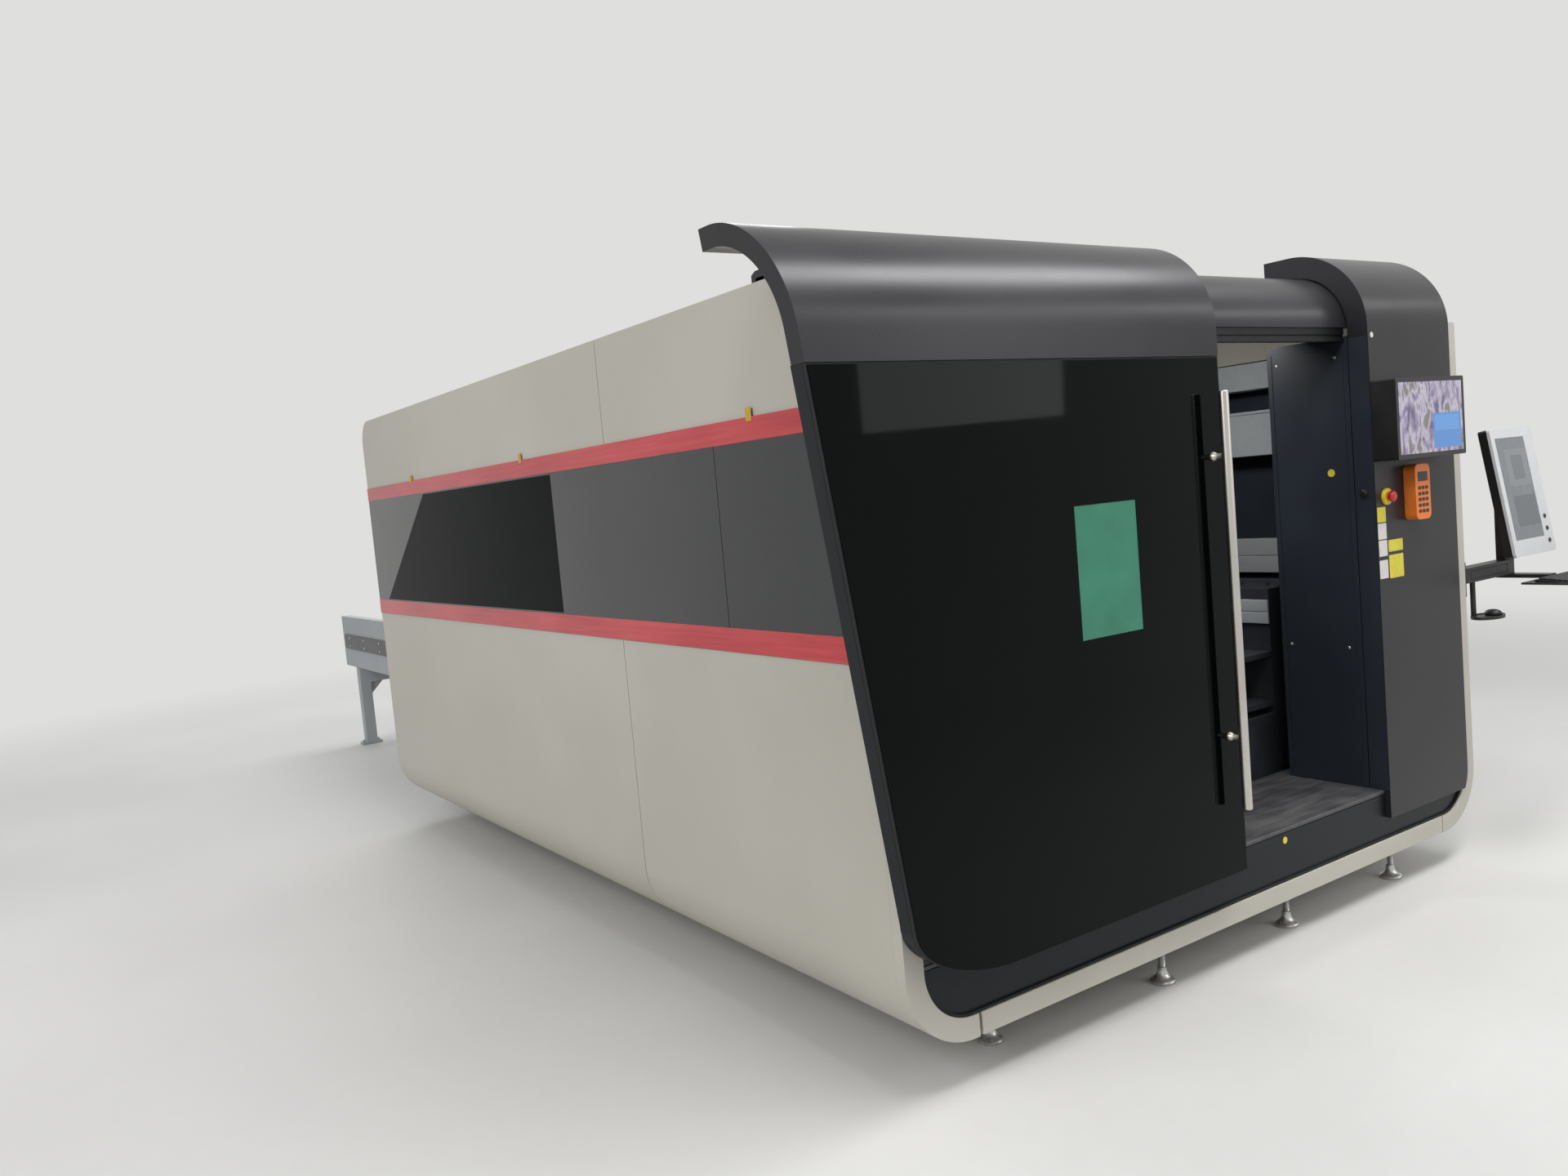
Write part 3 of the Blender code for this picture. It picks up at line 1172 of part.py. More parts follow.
    mouse_x = ARM_X + MOUSE_ARM
    stem_top = ARM_LOW - RUNNING
    ellipse = []
    for step in range(TRAY_SIDES):
        angle = 2 * math.pi * step / TRAY_SIDES
        ellipse.append((mouse_x + MOUSE_OFFSET_X + MOUSE_HALF_LENGTH * math.cos(angle),
                        ARM_PIVOT_Y + MOUSE_OFFSET_Y + MOUSE_HALF_WIDTH * math.sin(angle)))
    tray = prism("mouse_tray", ellipse, "XY", MOUSE_LOW, MOUSE_LOW + MOUSE_PLATE_THICK)
    join(tray, rod("mouse_tray_stem", MOUSE_STEM, "Z", MOUSE_LOW + MOUSE_PLATE_THICK / 2,
                   stem_top, (mouse_x, ARM_PIVOT_Y)))
    finish(tray, "black_plastic", mouse_frame)


def hung_block(name, x0, x1, y0, y1, z0, z1, rotation):
    """A box given from the panel's tilt axis, with its origin there, tipped back."""
    piece = block(name, x0, x1, y0, y1, z0, z1)
    centre = piece.location.copy()
    for vertex in piece.data.vertices:
        vertex.co += centre
    piece.location = (HEAD_X, ARM_PIVOT_Y, TILT_Z)
    piece.rotation_euler = rotation
    return piece


front_rim()
side_skins()
underside()
rear_wall()
roof()
side_bands()
front_panels()
doorway_hood()
right_section()
door()
bed()
gantry()
pallets()
exchange_table()
cover_controls()
console()
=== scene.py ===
# Enclosed fibre laser cutting machine: finishes, smooth sheet metal and small fittings
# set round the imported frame. Lengths are metres unless a name ends in Mm.
import json
import math

import bmesh
import bpy
from mathutils import Matrix, Vector
from mathutils.geometry import tessellate_polygon


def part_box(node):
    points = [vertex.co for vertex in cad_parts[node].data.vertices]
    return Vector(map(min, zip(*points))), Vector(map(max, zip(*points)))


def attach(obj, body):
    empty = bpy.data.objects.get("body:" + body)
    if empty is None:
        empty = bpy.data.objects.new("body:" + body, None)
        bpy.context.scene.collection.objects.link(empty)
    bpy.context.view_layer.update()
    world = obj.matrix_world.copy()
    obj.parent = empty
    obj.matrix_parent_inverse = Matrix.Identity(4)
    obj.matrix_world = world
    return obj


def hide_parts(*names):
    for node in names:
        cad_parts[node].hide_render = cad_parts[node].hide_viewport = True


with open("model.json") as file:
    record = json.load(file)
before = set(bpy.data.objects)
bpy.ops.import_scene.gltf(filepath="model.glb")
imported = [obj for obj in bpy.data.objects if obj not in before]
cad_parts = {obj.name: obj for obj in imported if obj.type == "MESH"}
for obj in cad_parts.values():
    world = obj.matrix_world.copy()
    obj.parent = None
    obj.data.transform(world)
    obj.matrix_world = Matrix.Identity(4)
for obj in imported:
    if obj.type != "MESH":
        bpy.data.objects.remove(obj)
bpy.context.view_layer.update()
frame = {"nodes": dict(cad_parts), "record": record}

nodes = frame["nodes"]

# Layout: x from the middle of the enclosure, y from the front of the pale rim, z from the floor
rimLeft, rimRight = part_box("front_rim_left"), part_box("front_rim_right")
origin = Vector(((rimLeft[0].x + rimRight[1].x) / 2, rimLeft[0].y, 0.0))

fit = 0.0003  # gap between two pieces that touch
thinGap = 0.0002  # the same behind sheets, screw heads and other thin fittings
past = 0.01  # how far a cutting tool runs out of the sheet that it cuts


class specs(dict):
    # the dictionary of one piece, read as piece.width
    __getattr__ = dict.__getitem__


print("frame loaded:", len(nodes), "nodes")


# Colours and node building

def linearColour(hexValue):
    channels = [int(hexValue[i:i + 2], 16) / 255 for i in (1, 3, 5)]
    return tuple(c / 12.92 if c <= 0.04045 else ((c + 0.055) / 1.055) ** 2.4
                 for c in channels) + (1.0,)


def addNode(tree, kind, inputs=None, **settings):
    node = tree.nodes.new("ShaderNode" + kind)
    for key, value in settings.items():
        setattr(node, key, value)
    for key, value in (inputs or {}).items():
        if isinstance(value, bpy.types.NodeSocket):
            tree.links.new(value, node.inputs[key])
        else:
            node.inputs[key].default_value = value
    return node


def arithmetic(tree, operation, *values):
    return addNode(tree, "Math", dict(enumerate(values)), operation=operation).outputs[0]


def noise(tree, place, scale, detail=3.0, distortion=0.0):
    return addNode(tree, "TexNoise", {"Vector": place, "Scale": scale, "Detail": detail,
                                      "Distortion": distortion}).outputs["Fac"]


def remap(tree, value, source, target=(0.0, 1.0)):
    return addNode(tree, "MapRange", {
        "Value": value, "From Min": source[0], "From Max": source[1],
        "To Min": target[0], "To Max": target[1]}).outputs[0]


def colourMix(tree, share, first, second):
    return addNode(tree, "Mix", {"Factor": share, "A": first, "B": second},
                   data_type="RGBA").outputs["Result"]


def newMaterial(name, fixed):
    material = bpy.data.materials.new(name)
    material.use_nodes = True
    shader = material.node_tree.nodes["Principled BSDF"]
    for key, value in fixed.items():
        shader.inputs[key].default_value = value
    place = addNode(material.node_tree, "TexCoord").outputs["Object"]
    return material, material.node_tree, shader, place


socketNames = {"ior": "IOR", "metallic": "Metallic", "specular": "Specular IOR Level"}


def surface(name, slot, low, high, patchMm, grainMm, share, rough, bumpMm=0.0, bump=0.0,
            stretch=(1, 1, 1), **fixed):
    # two close colours in soft patches, roughness that varies with them, and a fine bump
    material, tree, shader, place = newMaterial(
        name, {socketNames[key]: value for key, value in fixed.items()})
    grain = addNode(tree, "Mapping", {"Vector": place, "Scale": stretch})
    patches = noise(tree, place, 1000 / patchMm)
    fine = noise(tree, grain.outputs["Vector"], 1000 / grainMm, 2.0)
    rest = arithmetic(tree, "MULTIPLY", remap(tree, patches, (0.35, 0.65)), 1 - share)
    blend = arithmetic(tree, "MULTIPLY_ADD", remap(tree, fine, (0.3, 0.7)), share, rest)
    colour = colourMix(tree, blend, linearColour(low), linearColour(high))
    tree.links.new(colour, shader.inputs["Base Color"])
    tree.links.new(remap(tree, blend, (0.0, 1.0), rough), shader.inputs["Roughness"])
    if bumpMm:
        relief = addNode(tree, "Bump", {
            "Height": fine, "Strength": bump, "Distance": bumpMm / 1000})
        tree.links.new(relief.outputs["Normal"], shader.inputs["Normal"])
    return material


# Powder-coated sheet steel, warm light grey: satin, with the faint orange peel of the cured
# powder. The peel is 2 mm in truth and drawn at 9 mm, so that it shows at this distance.
powderCoat = surface(
    "powderCoatedSteelWarmGrey", "cream_paint", "#b1aea2", "#bab7ac", patchMm=900, grainMm=9,
    share=0.15, rough=(0.38, 0.46), bumpMm=0.25, bump=0.25, ior=1.5)

# Navy-charcoal powder coat of base panel and door leaf: cooler than the hoods, fine peel
baseCoat = surface(
    "powderCoatedSteelNavyCharcoal", "charcoal_paint", "#111519", "#171b20", patchMm=800,
    grainMm=8, share=0.2, rough=(0.34, 0.44), bumpMm=0.2, bump=0.25, ior=1.5, specular=0.22)

# Dark blue-grey machine enamel of the bed, brushed on: dull, with settled cutting dust
bedEnamel = surface(
    "brushedOnMachineEnamelDark", "grey_paint", "#24282e", "#3a3e44", patchMm=260, grainMm=16,
    share=0.4, rough=(0.45, 0.62), bumpMm=0.4, bump=0.3, ior=1.5)

# Ground steel of rails and guides: bright, with hardly any grain
groundSteel = surface(
    "groundToolSteel", "bare_steel", "#a3a6a9", "#b3b5b8", patchMm=300, grainMm=2, share=0.2,
    rough=(0.24, 0.32), bumpMm=0.01, bump=0.1, metallic=1.0)

# Clear anodised aluminium of the gantry and the cutting head: pale grey satin
clearAnodised = surface(
    "clearAnodisedAluminium", "grey_paint", "#a9adb1", "#b8bbbe", patchMm=200, grainMm=3,
    share=0.3, rough=(0.3, 0.42), bumpMm=0.03, bump=0.2, metallic=0.85)

# Black oxide on the track: dark, faintly oily
blackOxide = surface(
    "blackOxideSteel", "charcoal_paint", "#101113", "#1b1c1e", patchMm=90, grainMm=5,
    share=0.4, rough=(0.32, 0.5), bumpMm=0.05, bump=0.3, metallic=0.6)

# Injection-moulded white ABS of the touch panel's front: smooth satin
whiteAbs = surface(
    "mouldedAbsWhite", "pale_plastic", "#c9cbcc", "#d3d5d6", patchMm=90, grainMm=2, share=0.4,
    rough=(0.3, 0.4), bumpMm=0.05, bump=0.2, ior=1.53)

# Fired alumina ring above the nozzle: chalky white
firedCeramic = surface(
    "firedAluminaCeramic", "bare_steel", "#cfccc4", "#dbd9d2", patchMm=10, grainMm=1.5,
    share=0.4, rough=(0.5, 0.65), ior=1.76)

# Metallic charcoal enamel sprayed on folded sheet: dark, with fine bright flake that broadens
# the highlights. Flake is 0.1 mm in truth and drawn at 3 mm.
metallicEnamel = surface(
    "metallicCharcoalEnamel", "charcoal_paint", "#28282b", "#343437", patchMm=700, grainMm=3,
    share=0.5, rough=(0.26, 0.37), bumpMm=0.15, bump=0.3, ior=1.5, metallic=0.35,
    specular=0.35)

# Blue-black powder coat of the inner cabinet: smoother than the hoods, without flake
cabinetCoat = surface(
    "powderCoatedSteelBlueBlack", "charcoal_paint", "#272c34", "#30363e", patchMm=500,
    grainMm=7, share=0.2, rough=(0.28, 0.38), bumpMm=0.2, bump=0.25, ior=1.5, specular=0.35)

# Tinted toughened glass over the door: almost black, mirror-smooth, with faint wiping marks
tintedGlass = surface(
    "tintedToughenedGlass", "black_glass", "#020506", "#040809", patchMm=600, grainMm=40,
    share=0.3, rough=(0.02, 0.05), stretch=(1.0, 1.0, 0.25), ior=1.52, specular=0.09)

# Cast acrylic, dark grey and glossy, on both flanks
greyAcrylic = surface(
    "castAcrylicDarkGrey", "grey_acrylic", "#292c2b", "#303332", patchMm=800, grainMm=60,
    share=0.2, rough=(0.07, 0.12), ior=1.49)

# Cast acrylic, signal red: glossy strip with a slight streak along its length
redAcrylic = surface(
    "castAcrylicRed", "red_acrylic", "#aa252e", "#c9464c", patchMm=700, grainMm=14, share=0.45,
    rough=(0.16, 0.26), stretch=(1.0, 0.04, 1.0), ior=1.49)

# Smoked acrylic of the side windows: blacker than the band and a little glossier
windowAcrylic = surface(
    "smokedAcrylic", "black_glass", "#0a0c0d", "#0e1112", patchMm=700, grainMm=60, share=0.2,
    rough=(0.03, 0.06), ior=1.49, specular=0.02)

# Two-pack machine paint, light grey, rolled on castings and welded frames: dull, uneven
machinePaint = surface(
    "twoPackMachinePaintGrey", "grey_paint", "#9da1a4", "#adb1b3", patchMm=350, grainMm=12,
    share=0.35, rough=(0.45, 0.6), bumpMm=0.4, bump=0.3, ior=1.5)

# Brushed stainless steel, satin lines round the bar
brushedStainless = surface(
    "brushedStainlessSteel", "bare_steel", "#c2bfb7", "#cdcac3", patchMm=260, grainMm=4,
    share=0.3, rough=(0.26, 0.34), bumpMm=0.02, bump=0.1, stretch=(0.2, 0.2, 3.0), metallic=1.0)

# Bright zinc plate on the levelling feet and fasteners: slightly cloudy
zincPlate = surface(
    "zincPlatedSteel", "bare_steel", "#b4b5b4", "#cdcecd", patchMm=30, grainMm=6, share=0.4,
    rough=(0.24, 0.38), metallic=1.0)

# Hot-rolled mild steel slats with cutting soot and rust freckles: blotchy, rough
scaledSteel = surface(
    "hotRolledSteelUsed", "slat_steel", "#403d3b", "#68625c", patchMm=60, grainMm=8, share=0.5,
    rough=(0.5, 0.75), bumpMm=0.6, bump=0.5, metallic=0.75)

# Polyamide and ABS mouldings, black, with a fine spark-eroded texture
mouldedPlastic = surface(
    "mouldedAbsBlack", "black_plastic", "#131314", "#1c1c1e", patchMm=120, grainMm=3,
    share=0.5, rough=(0.38, 0.5), bumpMm=0.12, bump=0.3, ior=1.53)

# Moulded orange ABS of the hand control: satin, with the same fine texture
orangeAbs = surface(
    "mouldedAbsOrange", "orange_plastic", "#dd6e20", "#e98030", patchMm=50, grainMm=2,
    share=0.4, rough=(0.35, 0.45), bumpMm=0.08, bump=0.3, ior=1.53)

# Moulded polycarbonate of the stop button, yellow and red: glossy
yellowPolycarbonate = surface(
    "mouldedPolycarbonateYellow", "yellow_plastic", "#e3c21b", "#ecd02f", patchMm=30,
    grainMm=3, share=0.3, rough=(0.25, 0.35), ior=1.58)
redPolycarbonate = surface(
    "mouldedPolycarbonateRed", "red_plastic", "#b81218", "#cc2022", patchMm=30, grainMm=3,
    share=0.3, rough=(0.2, 0.3), ior=1.58)

# Extruded EPDM rubber seal: matt black
sealRubber = surface(
    "extrudedRubber", "black_plastic", "#0c0c0d", "#141415", patchMm=60, grainMm=4, share=0.4,
    rough=(0.7, 0.85), bumpMm=0.1, bump=0.3, ior=1.5)

# Vinyl film of the blank plates: flat colour under a thin gloss, slightly soiled
yellowVinyl = surface(
    "vinylFilmYellow", "yellow_plastic", "#cfc02c", "#dccf45", patchMm=25, grainMm=4,
    share=0.3, rough=(0.3, 0.4), ior=1.48)
whiteVinyl = surface(
    "vinylFilmWhite", "pale_plastic", "#cfc9c8", "#ded9d6", patchMm=25, grainMm=4, share=0.3,
    rough=(0.3, 0.4), ior=1.48)

# Creped paper tape, ochre: matt, with small wrinkles
crepeTape = surface(
    "crepePaperTapeOchre", "yellow_plastic", "#b8952c", "#cbaa3f", patchMm=12, grainMm=2,
    share=0.5, rough=(0.6, 0.75), bumpMm=0.15, bump=0.4, ior=1.45)

# The same enamel on the sill, with soot and scuffs: rubbed brighter in streaks
scuffedEnamel = surface(
    "metallicCharcoalEnamelScuffed", "charcoal_paint", "#35353a", "#5b5959", patchMm=180,
    grainMm=30, share=0.5, rough=(0.38, 0.6), bumpMm=0.2, bump=0.3, stretch=(0.15, 1.0, 1.0),
    ior=1.5, metallic=0.2)

# Turned copper of the nozzle: warm, fine tool marks
nozzleCopper = surface(
    "turnedCopper", "bare_steel", "#b06a45", "#c47d55", patchMm=12, grainMm=2, share=0.4,
    rough=(0.25, 0.4), metallic=1.0)


def filterGlass():
    # laser filter sheet, green cast polycarbonate: clear and glossy, with a soft haze
    material, tree, shader, place = newMaterial(
        "laserFilterPolycarbonate", {"IOR": 1.58, "Transmission Weight": 0.35})
    haze = noise(tree, place, 7.0)
    colour = colourMix(tree, haze, linearColour("#237a60"), linearColour("#3aa482"))
    tree.links.new(colour, shader.inputs["Base Color"])
    tree.links.new(remap(tree, haze, (0.0, 1.0), (0.04, 0.1)), shader.inputs["Roughness"])
    return material


def blockMask(tree, spans):
    # 1 where each value lies inside its span, 0 elsewhere
    return arithmetic(tree, "MULTIPLY", *[arithmetic(
        tree, "MULTIPLY", arithmetic(tree, "GREATER_THAN", value, low),
        arithmetic(tree, "LESS_THAN", value, high)) for value, low, high in spans])


def litScreen(name, node, streakColours, blocks, glow):
    # a lit liquid crystal panel: soft streaks with plain blocks over them, and no lettering
    low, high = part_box(node)
    material, tree, shader, place = newMaterial(name, {
        "IOR": 1.5, "Roughness": 0.12, "Emission Strength": glow})
    onScreen = addNode(tree, "Mapping", {
        "Vector": place, "Location": low, "Scale": high - low},
        vector_type="TEXTURE").outputs["Vector"]
    part = addNode(tree, "SeparateXYZ", {"Vector": onScreen})
    stretch = addNode(tree, "Mapping", {"Vector": onScreen, "Scale": (11.0, 0.0, 3.0)})
    streaks = noise(tree, stretch.outputs["Vector"], 1.0, 4.0, 0.6)
    ramp = addNode(tree, "ValToRGB", {"Fac": streaks})
    steps = ramp.color_ramp.elements
    first, last = 0.36, 0.64
    steps[0].position, steps[1].position = first, last
    steps[0].color = linearColour(streakColours[0])
    steps[1].color = linearColour(streakColours[-1])
    for number, shade in enumerate(streakColours[1:-1]):
        step = steps.new(first + (last - first) * (number + 1) / (len(streakColours) - 1))
        step.color = linearColour(shade)
    picture = ramp.outputs["Color"]
    for shade, x0, x1, z0, z1 in blocks:
        mask = blockMask(tree, ((part.outputs["X"], x0, x1), (part.outputs["Z"], z0, z1)))
        picture = colourMix(tree, mask, picture, linearColour(shade))
    tree.links.new(picture, shader.inputs["Base Color"])
    tree.links.new(picture, shader.inputs["Emission Color"])
    return material


filterGreen = filterGlass()
monitorPicture = litScreen("liquidCrystalMonitor", "monitor_screen", (
    "#5f5670", "#8a8199", "#b3adbd", "#77706f"), (
    ("#5383bf", 0.52, 0.97, 0.05, 0.55), ("#5f8fcb", 0.55, 0.94, 0.30, 0.52)), 0.18)
touchPicture = litScreen("liquidCrystalTouchScreen", "touch_screen", (
    "#6d7275", "#777b7e", "#707578"), (
    ("#62676a", 0.12, 0.88, 0.12, 0.42), ("#7d8184", 0.12, 0.88, 0.52, 0.88),
    ("#6b7074", 0.30, 0.70, 0.58, 0.82)), 0.06)

slotMaterials = {
    "cream_paint": powderCoat, "charcoal_paint": metallicEnamel, "black_glass": tintedGlass,
    "grey_acrylic": greyAcrylic, "red_acrylic": redAcrylic, "green_filter": filterGreen,
    "grey_paint": machinePaint, "bare_steel": brushedStainless, "slat_steel": scaledSteel,
    "black_plastic": mouldedPlastic, "pale_plastic": whiteAbs, "orange_plastic": orangeAbs,
    "yellow_plastic": yellowPolycarbonate, "red_plastic": redPolycarbonate,
    "screen_glass": monitorPicture,
}
ownMaterials = {
    "control_cabinet": cabinetCoat, "sill_plate": scuffedEnamel, "touch_screen": touchPicture,
    "side_window_left": windowAcrylic, "side_window_right": windowAcrylic,
    "bed_side_left": bedEnamel, "bed_side_right": bedEnamel, "bed_cross_front": bedEnamel,
    "bed_cross_rear": bedEnamel,
}
slotOf = {row["node"]: row["material_slot"] for row in frame["record"]["subparts"]}
for name, piece in nodes.items():
    piece.data.materials.clear()
    piece.data.materials.append(ownMaterials.get(name, slotMaterials[slotOf[name]]))

print("materials made:", len(bpy.data.materials))


# Shapes, all given in the layout and moved to the frame

def addObject(name, data):
    thing = bpy.data.objects.new(name, data)
    bpy.context.scene.collection.objects.link(thing)
    return thing


def newPiece(name, verts, faces):
    mesh = bpy.data.meshes.new(name)
    mesh.from_pydata([Vector(v) + origin for v in verts], [], faces)
    work = bmesh.new()
    work.from_mesh(mesh)
    bmesh.ops.remove_doubles(work, verts=work.verts, dist=0.000005)
    bmesh.ops.recalc_face_normals(work, faces=work.faces)
    work.to_mesh(mesh)
    work.free()
    return addObject(name, mesh)


def prism(name, outline, axis, start, end, holes=()):
    loops = [outline, *holes]
    points = [point for loop in loops for point in loop]
    triangles = tessellate_polygon([[Vector((u, v, 0)) for u, v in loop] for loop in loops])
    turn = {"x": lambda u, v, w: (w, u, v), "y": lambda u, v, w: (u, w, v),
            "z": lambda u, v, w: (u, v, w)}[axis]
    count = len(points)
    verts = [turn(u, v, w) for w in (start, end) for u, v in points]
    faces = [tuple(t) for t in triangles]
    faces += [tuple(count + i for i in reversed(t)) for t in triangles]
    first = 0
    for loop in loops:
        for i in range(len(loop)):
            a, b = first + i, first + (i + 1) % len(loop)
            faces.append((a, b, count + b, count + a))
        first += len(loop)
    return newPiece(name, verts, faces)


def slab(name, low, high):
    return prism(name, rectangle(low[0], high[0], low[1], high[1]), "z", low[2], high[2])


def roundedBar(name, box, radius, axis, start, end, steps=6):
    return prism(name, roundedRectangle(*box, radius, steps), axis, start, end)


def turned(name, profile, centre, facing="up", sides=48):
    # profile of (radius, distance from centre), turned round a line that points one way
    spin = {"up": lambda a, b, h: (a, b, h), "right": lambda a, b, h: (h, a, b),
            "left": lambda a, b, h: (-h, a, b), "front": lambda a, b, h: (a, -h, b),
            "back": lambda a, b, h: (a, h, b)}[facing]
    verts, faces = [], []
    for radius, height in profile:
        for side in range(sides):
            angle = 2 * math.pi * side / sides
            offset = spin(radius * math.cos(angle), radius * math.sin(angle), height)
            verts.append(tuple(c + o for c, o in zip(centre, offset)))
    for row in range(len(profile) - 1):
        for side in range(sides):
            a, b = row * sides + side, row * sides + (side + 1) % sides
            faces.append((a, b, b + sides, a + sides))
    if profile[0] != profile[-1]:
        faces += [tuple(range(row * sides, (row + 1) * sides))
                  for row in (0, len(profile) - 1) if profile[row][0] > 0.00001]
    return newPiece(name, verts, faces)


def arcPoints(centre, radius, first, last, steps):
    angles = [math.radians(first + (last - first) * i / steps) for i in range(steps + 1)]
    return [(centre[0] + radius * math.cos(a), centre[1] + radius * math.sin(a))
            for a in angles]


def circle(centre, radius, sides=48):
    return arcPoints(centre, radius, 0, 360, sides)[:-1]


def rectangle(u0, u1, v0, v1):
    return [(u0, v0), (u1, v0), (u1, v1), (u0, v1)]


def roundedRectangle(u0, u1, v0, v1, radius, steps=6):
    corners = (((u0 + radius, v0 + radius), 180), ((u1 - radius, v0 + radius), 270),
               ((u1 - radius, v1 - radius), 0), ((u0 + radius, v1 - radius), 90))
    return [p for centre, first in corners
            for p in arcPoints(centre, radius, first, first + 90, steps)]


def flipped(points):
    return [(-u, v) for u, v in reversed(points)]


def bothHalves(left):
    return left + flipped(left)


def thickened(path, thickness):
    # the outline of a bent sheet: a path and its offset to the right-hand side
    offset = []
    for i, (u, v) in enumerate(path):
        normals = []
        before, after = path[max(i - 1, 0)], path[min(i + 1, len(path) - 1)]
        for start, end in ((before, (u, v)), ((u, v), after)):
            length = math.hypot(end[0] - start[0], end[1] - start[1])
            if length > 0:
                normals.append(((end[1] - start[1]) / length, -(end[0] - start[0]) / length))
        meanU = sum(n[0] for n in normals) / len(normals)
        meanV = sum(n[1] for n in normals) / len(normals)
        scale = thickness / (meanU ** 2 + meanV ** 2)
        offset.append((u + meanU * scale, v + meanV * scale))
    return list(path) + offset[::-1]


def carve(piece, *tools, operation="DIFFERENCE"):
    # cuts other shapes out of a piece, or adds them to it, and keeps the result as its mesh
    for tool in tools:
        step = piece.modifiers.new("carve", "BOOLEAN")
        step.operation = operation
        step.solver = "EXACT"
        step.object = tool
    graph = bpy.context.evaluated_depsgraph_get()
    mesh = bpy.data.meshes.new_from_object(piece.evaluated_get(graph))
    piece.modifiers.clear()
    piece.data = mesh
    for tool in tools:
        bpy.data.objects.remove(tool, do_unlink=True)
    return piece


def merged(name, pieces):
    # several separate solids as one piece
    work = bmesh.new()
    for piece in pieces:
        work.from_mesh(piece.data)
    mesh = bpy.data.meshes.new(name)
    work.to_mesh(mesh)
    work.free()
    for piece in pieces:
        bpy.data.objects.remove(piece, do_unlink=True)
    return addObject(name, mesh)


def dress(piece, material, replaced=None, edge=0.0, segments=2, body="machine",
          sharp=32):
    # material, softened edges, smooth shading, and the body that the piece rides on
    piece.data.materials.clear()
    piece.data.materials.append(material)
    for face in piece.data.polygons:
        face.material_index = 0
    piece.data.shade_smooth()
    piece.data.set_sharp_from_angle(angle=math.radians(sharp))
    if edge > 0:
        bevel = piece.modifiers.new("softEdges", "BEVEL")
        bevel.width = edge
        bevel.segments = segments
        bevel.limit_method = "ANGLE"
        bevel.angle_limit = math.radians(sharp)
        bevel.harden_normals = True
    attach(piece, body)
    if replaced:
        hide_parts(replaced)
    return piece


# Pale shell: side sheets, rim, base panel, roof and rear wall

shell = specs(
    half=1.448, base=0.144, top=2.230, corner=0.227, frontCorner=0.160, rearCorner=0.126,
    skin=0.010, seamY=1.434, seam=0.003, length=4.387, rimWidth=0.064, rimDepth=0.040,
    rimTop=2.070, rimSeamX=1.200, rimGaps=(0.011, 0.003), cornerSteps=36, edge=0.0015,
    rimEdge=0.003)
cornerX = shell.half - shell.corner
cornerZ = shell.base + shell.corner


def sectionPath(inset, top):
    # left half of the shell's section, down its side and round its lower corner
    radius = shell.corner - inset
    first = 180
    if top <= cornerZ:
        first += math.degrees(math.asin((cornerZ - top) / radius))
    bend = arcPoints((-cornerX, cornerZ), radius, first, 270, shell.cornerSteps)
    return [(inset - shell.half, top)] + bend if top > cornerZ else bend


def foldedSide(thickness, top, seamX):
    path = sectionPath(0.0, top) + [(-seamX, shell.base)]
    return thickened(path[::-1], thickness)


def cornerTool(centre, radius, first, axis, start, end):
    # what lies outside a rounded corner
    curve = arcPoints(centre, radius, first, first + 90, 30)
    a, b = math.radians(first), math.radians(first + 90)
    out = radius * 1.5
    ends = [(math.cos(b), math.sin(b)), (math.cos(a) + math.cos(b), math.sin(a) + math.sin(b)),
            (math.cos(a), math.sin(a))]
    outer = [(centre[0] + u * out, centre[1] + v * out) for u, v in ends]
    return prism("tool", curve + outer, axis, start, end)


def buildShell():
    s = shell
    start, half = s.rimDepth + fit, s.seam / 2
    spans = (("front", start, s.seamY - half, (start + s.frontCorner, s.rimTop),
              s.frontCorner, 90),
             ("rear", s.seamY + half, s.length, (s.length - s.rearCorner, s.top - s.rearCorner),
              s.rearCorner, 0))
    for name, sign, gap in (("left", -1, s.rimGaps[0]), ("right", 1, s.rimGaps[1])):
        side = foldedSide(s.skin, s.top, s.rimSeamX + half)
        rim = foldedSide(s.rimWidth, s.rimTop, s.rimSeamX + gap / 2)
        if sign > 0:
            side, rim = flipped(side), flipped(rim)
        across = sorted((sign * (s.half - 0.03), sign * (s.half + 0.03)))
        for span, y0, y1, centre, radius, first in spans:
            sheet = prism(f"{name}Side{span}", side, "y", y0, y1)
            carve(sheet, cornerTool(centre, radius, first, "x", *across))
            dress(sheet, powderCoat, f"side_skin_{name}_{span}", s.edge)
        dress(prism(name + "Rim", rim, "y", 0.0, s.rimDepth), powderCoat, "front_rim_" + name,
              s.rimEdge, 3)
    low = rectangle(s.rimGaps[0] / 2 - s.rimSeamX, s.rimSeamX - s.rimGaps[1] / 2,
                    s.base, s.base + s.rimWidth)
    dress(prism("lowerRim", low, "y", 0.0, s.rimDepth), powderCoat, "front_rim_bottom",
          s.rimEdge, 3)


basePanel = specs(inset=0.0646, top=0.3697, front=0.012, thick=0.020, sealGap=0.0004,
                  sealWidth=0.007, sealProud=0.007)


def buildBasePanel():
    b = basePanel
    outline = bothHalves(sectionPath(b.inset, b.top))
    panel = prism("basePanelSheet", outline, "y", b.front, b.front + b.thick)
    dress(panel, baseCoat, "base_panel", 0.001)
    # rubber strip pressed into the joint between rim and base panel
    outer = bothHalves(sectionPath(b.inset - b.sealGap, b.top))
    inner = bothHalves(sectionPath(b.inset + b.sealWidth, b.top))
    seal = prism("basePanelSeal", outer + inner[::-1], "y", b.front - b.sealProud,
                 b.front - thinGap)
    dress(seal, sealRubber, edge=0.001)


roof = specs(front=0.4403, top=2.215, sideGap=0.0103, jointY=(1.434, 2.9105), bendSteps=30)


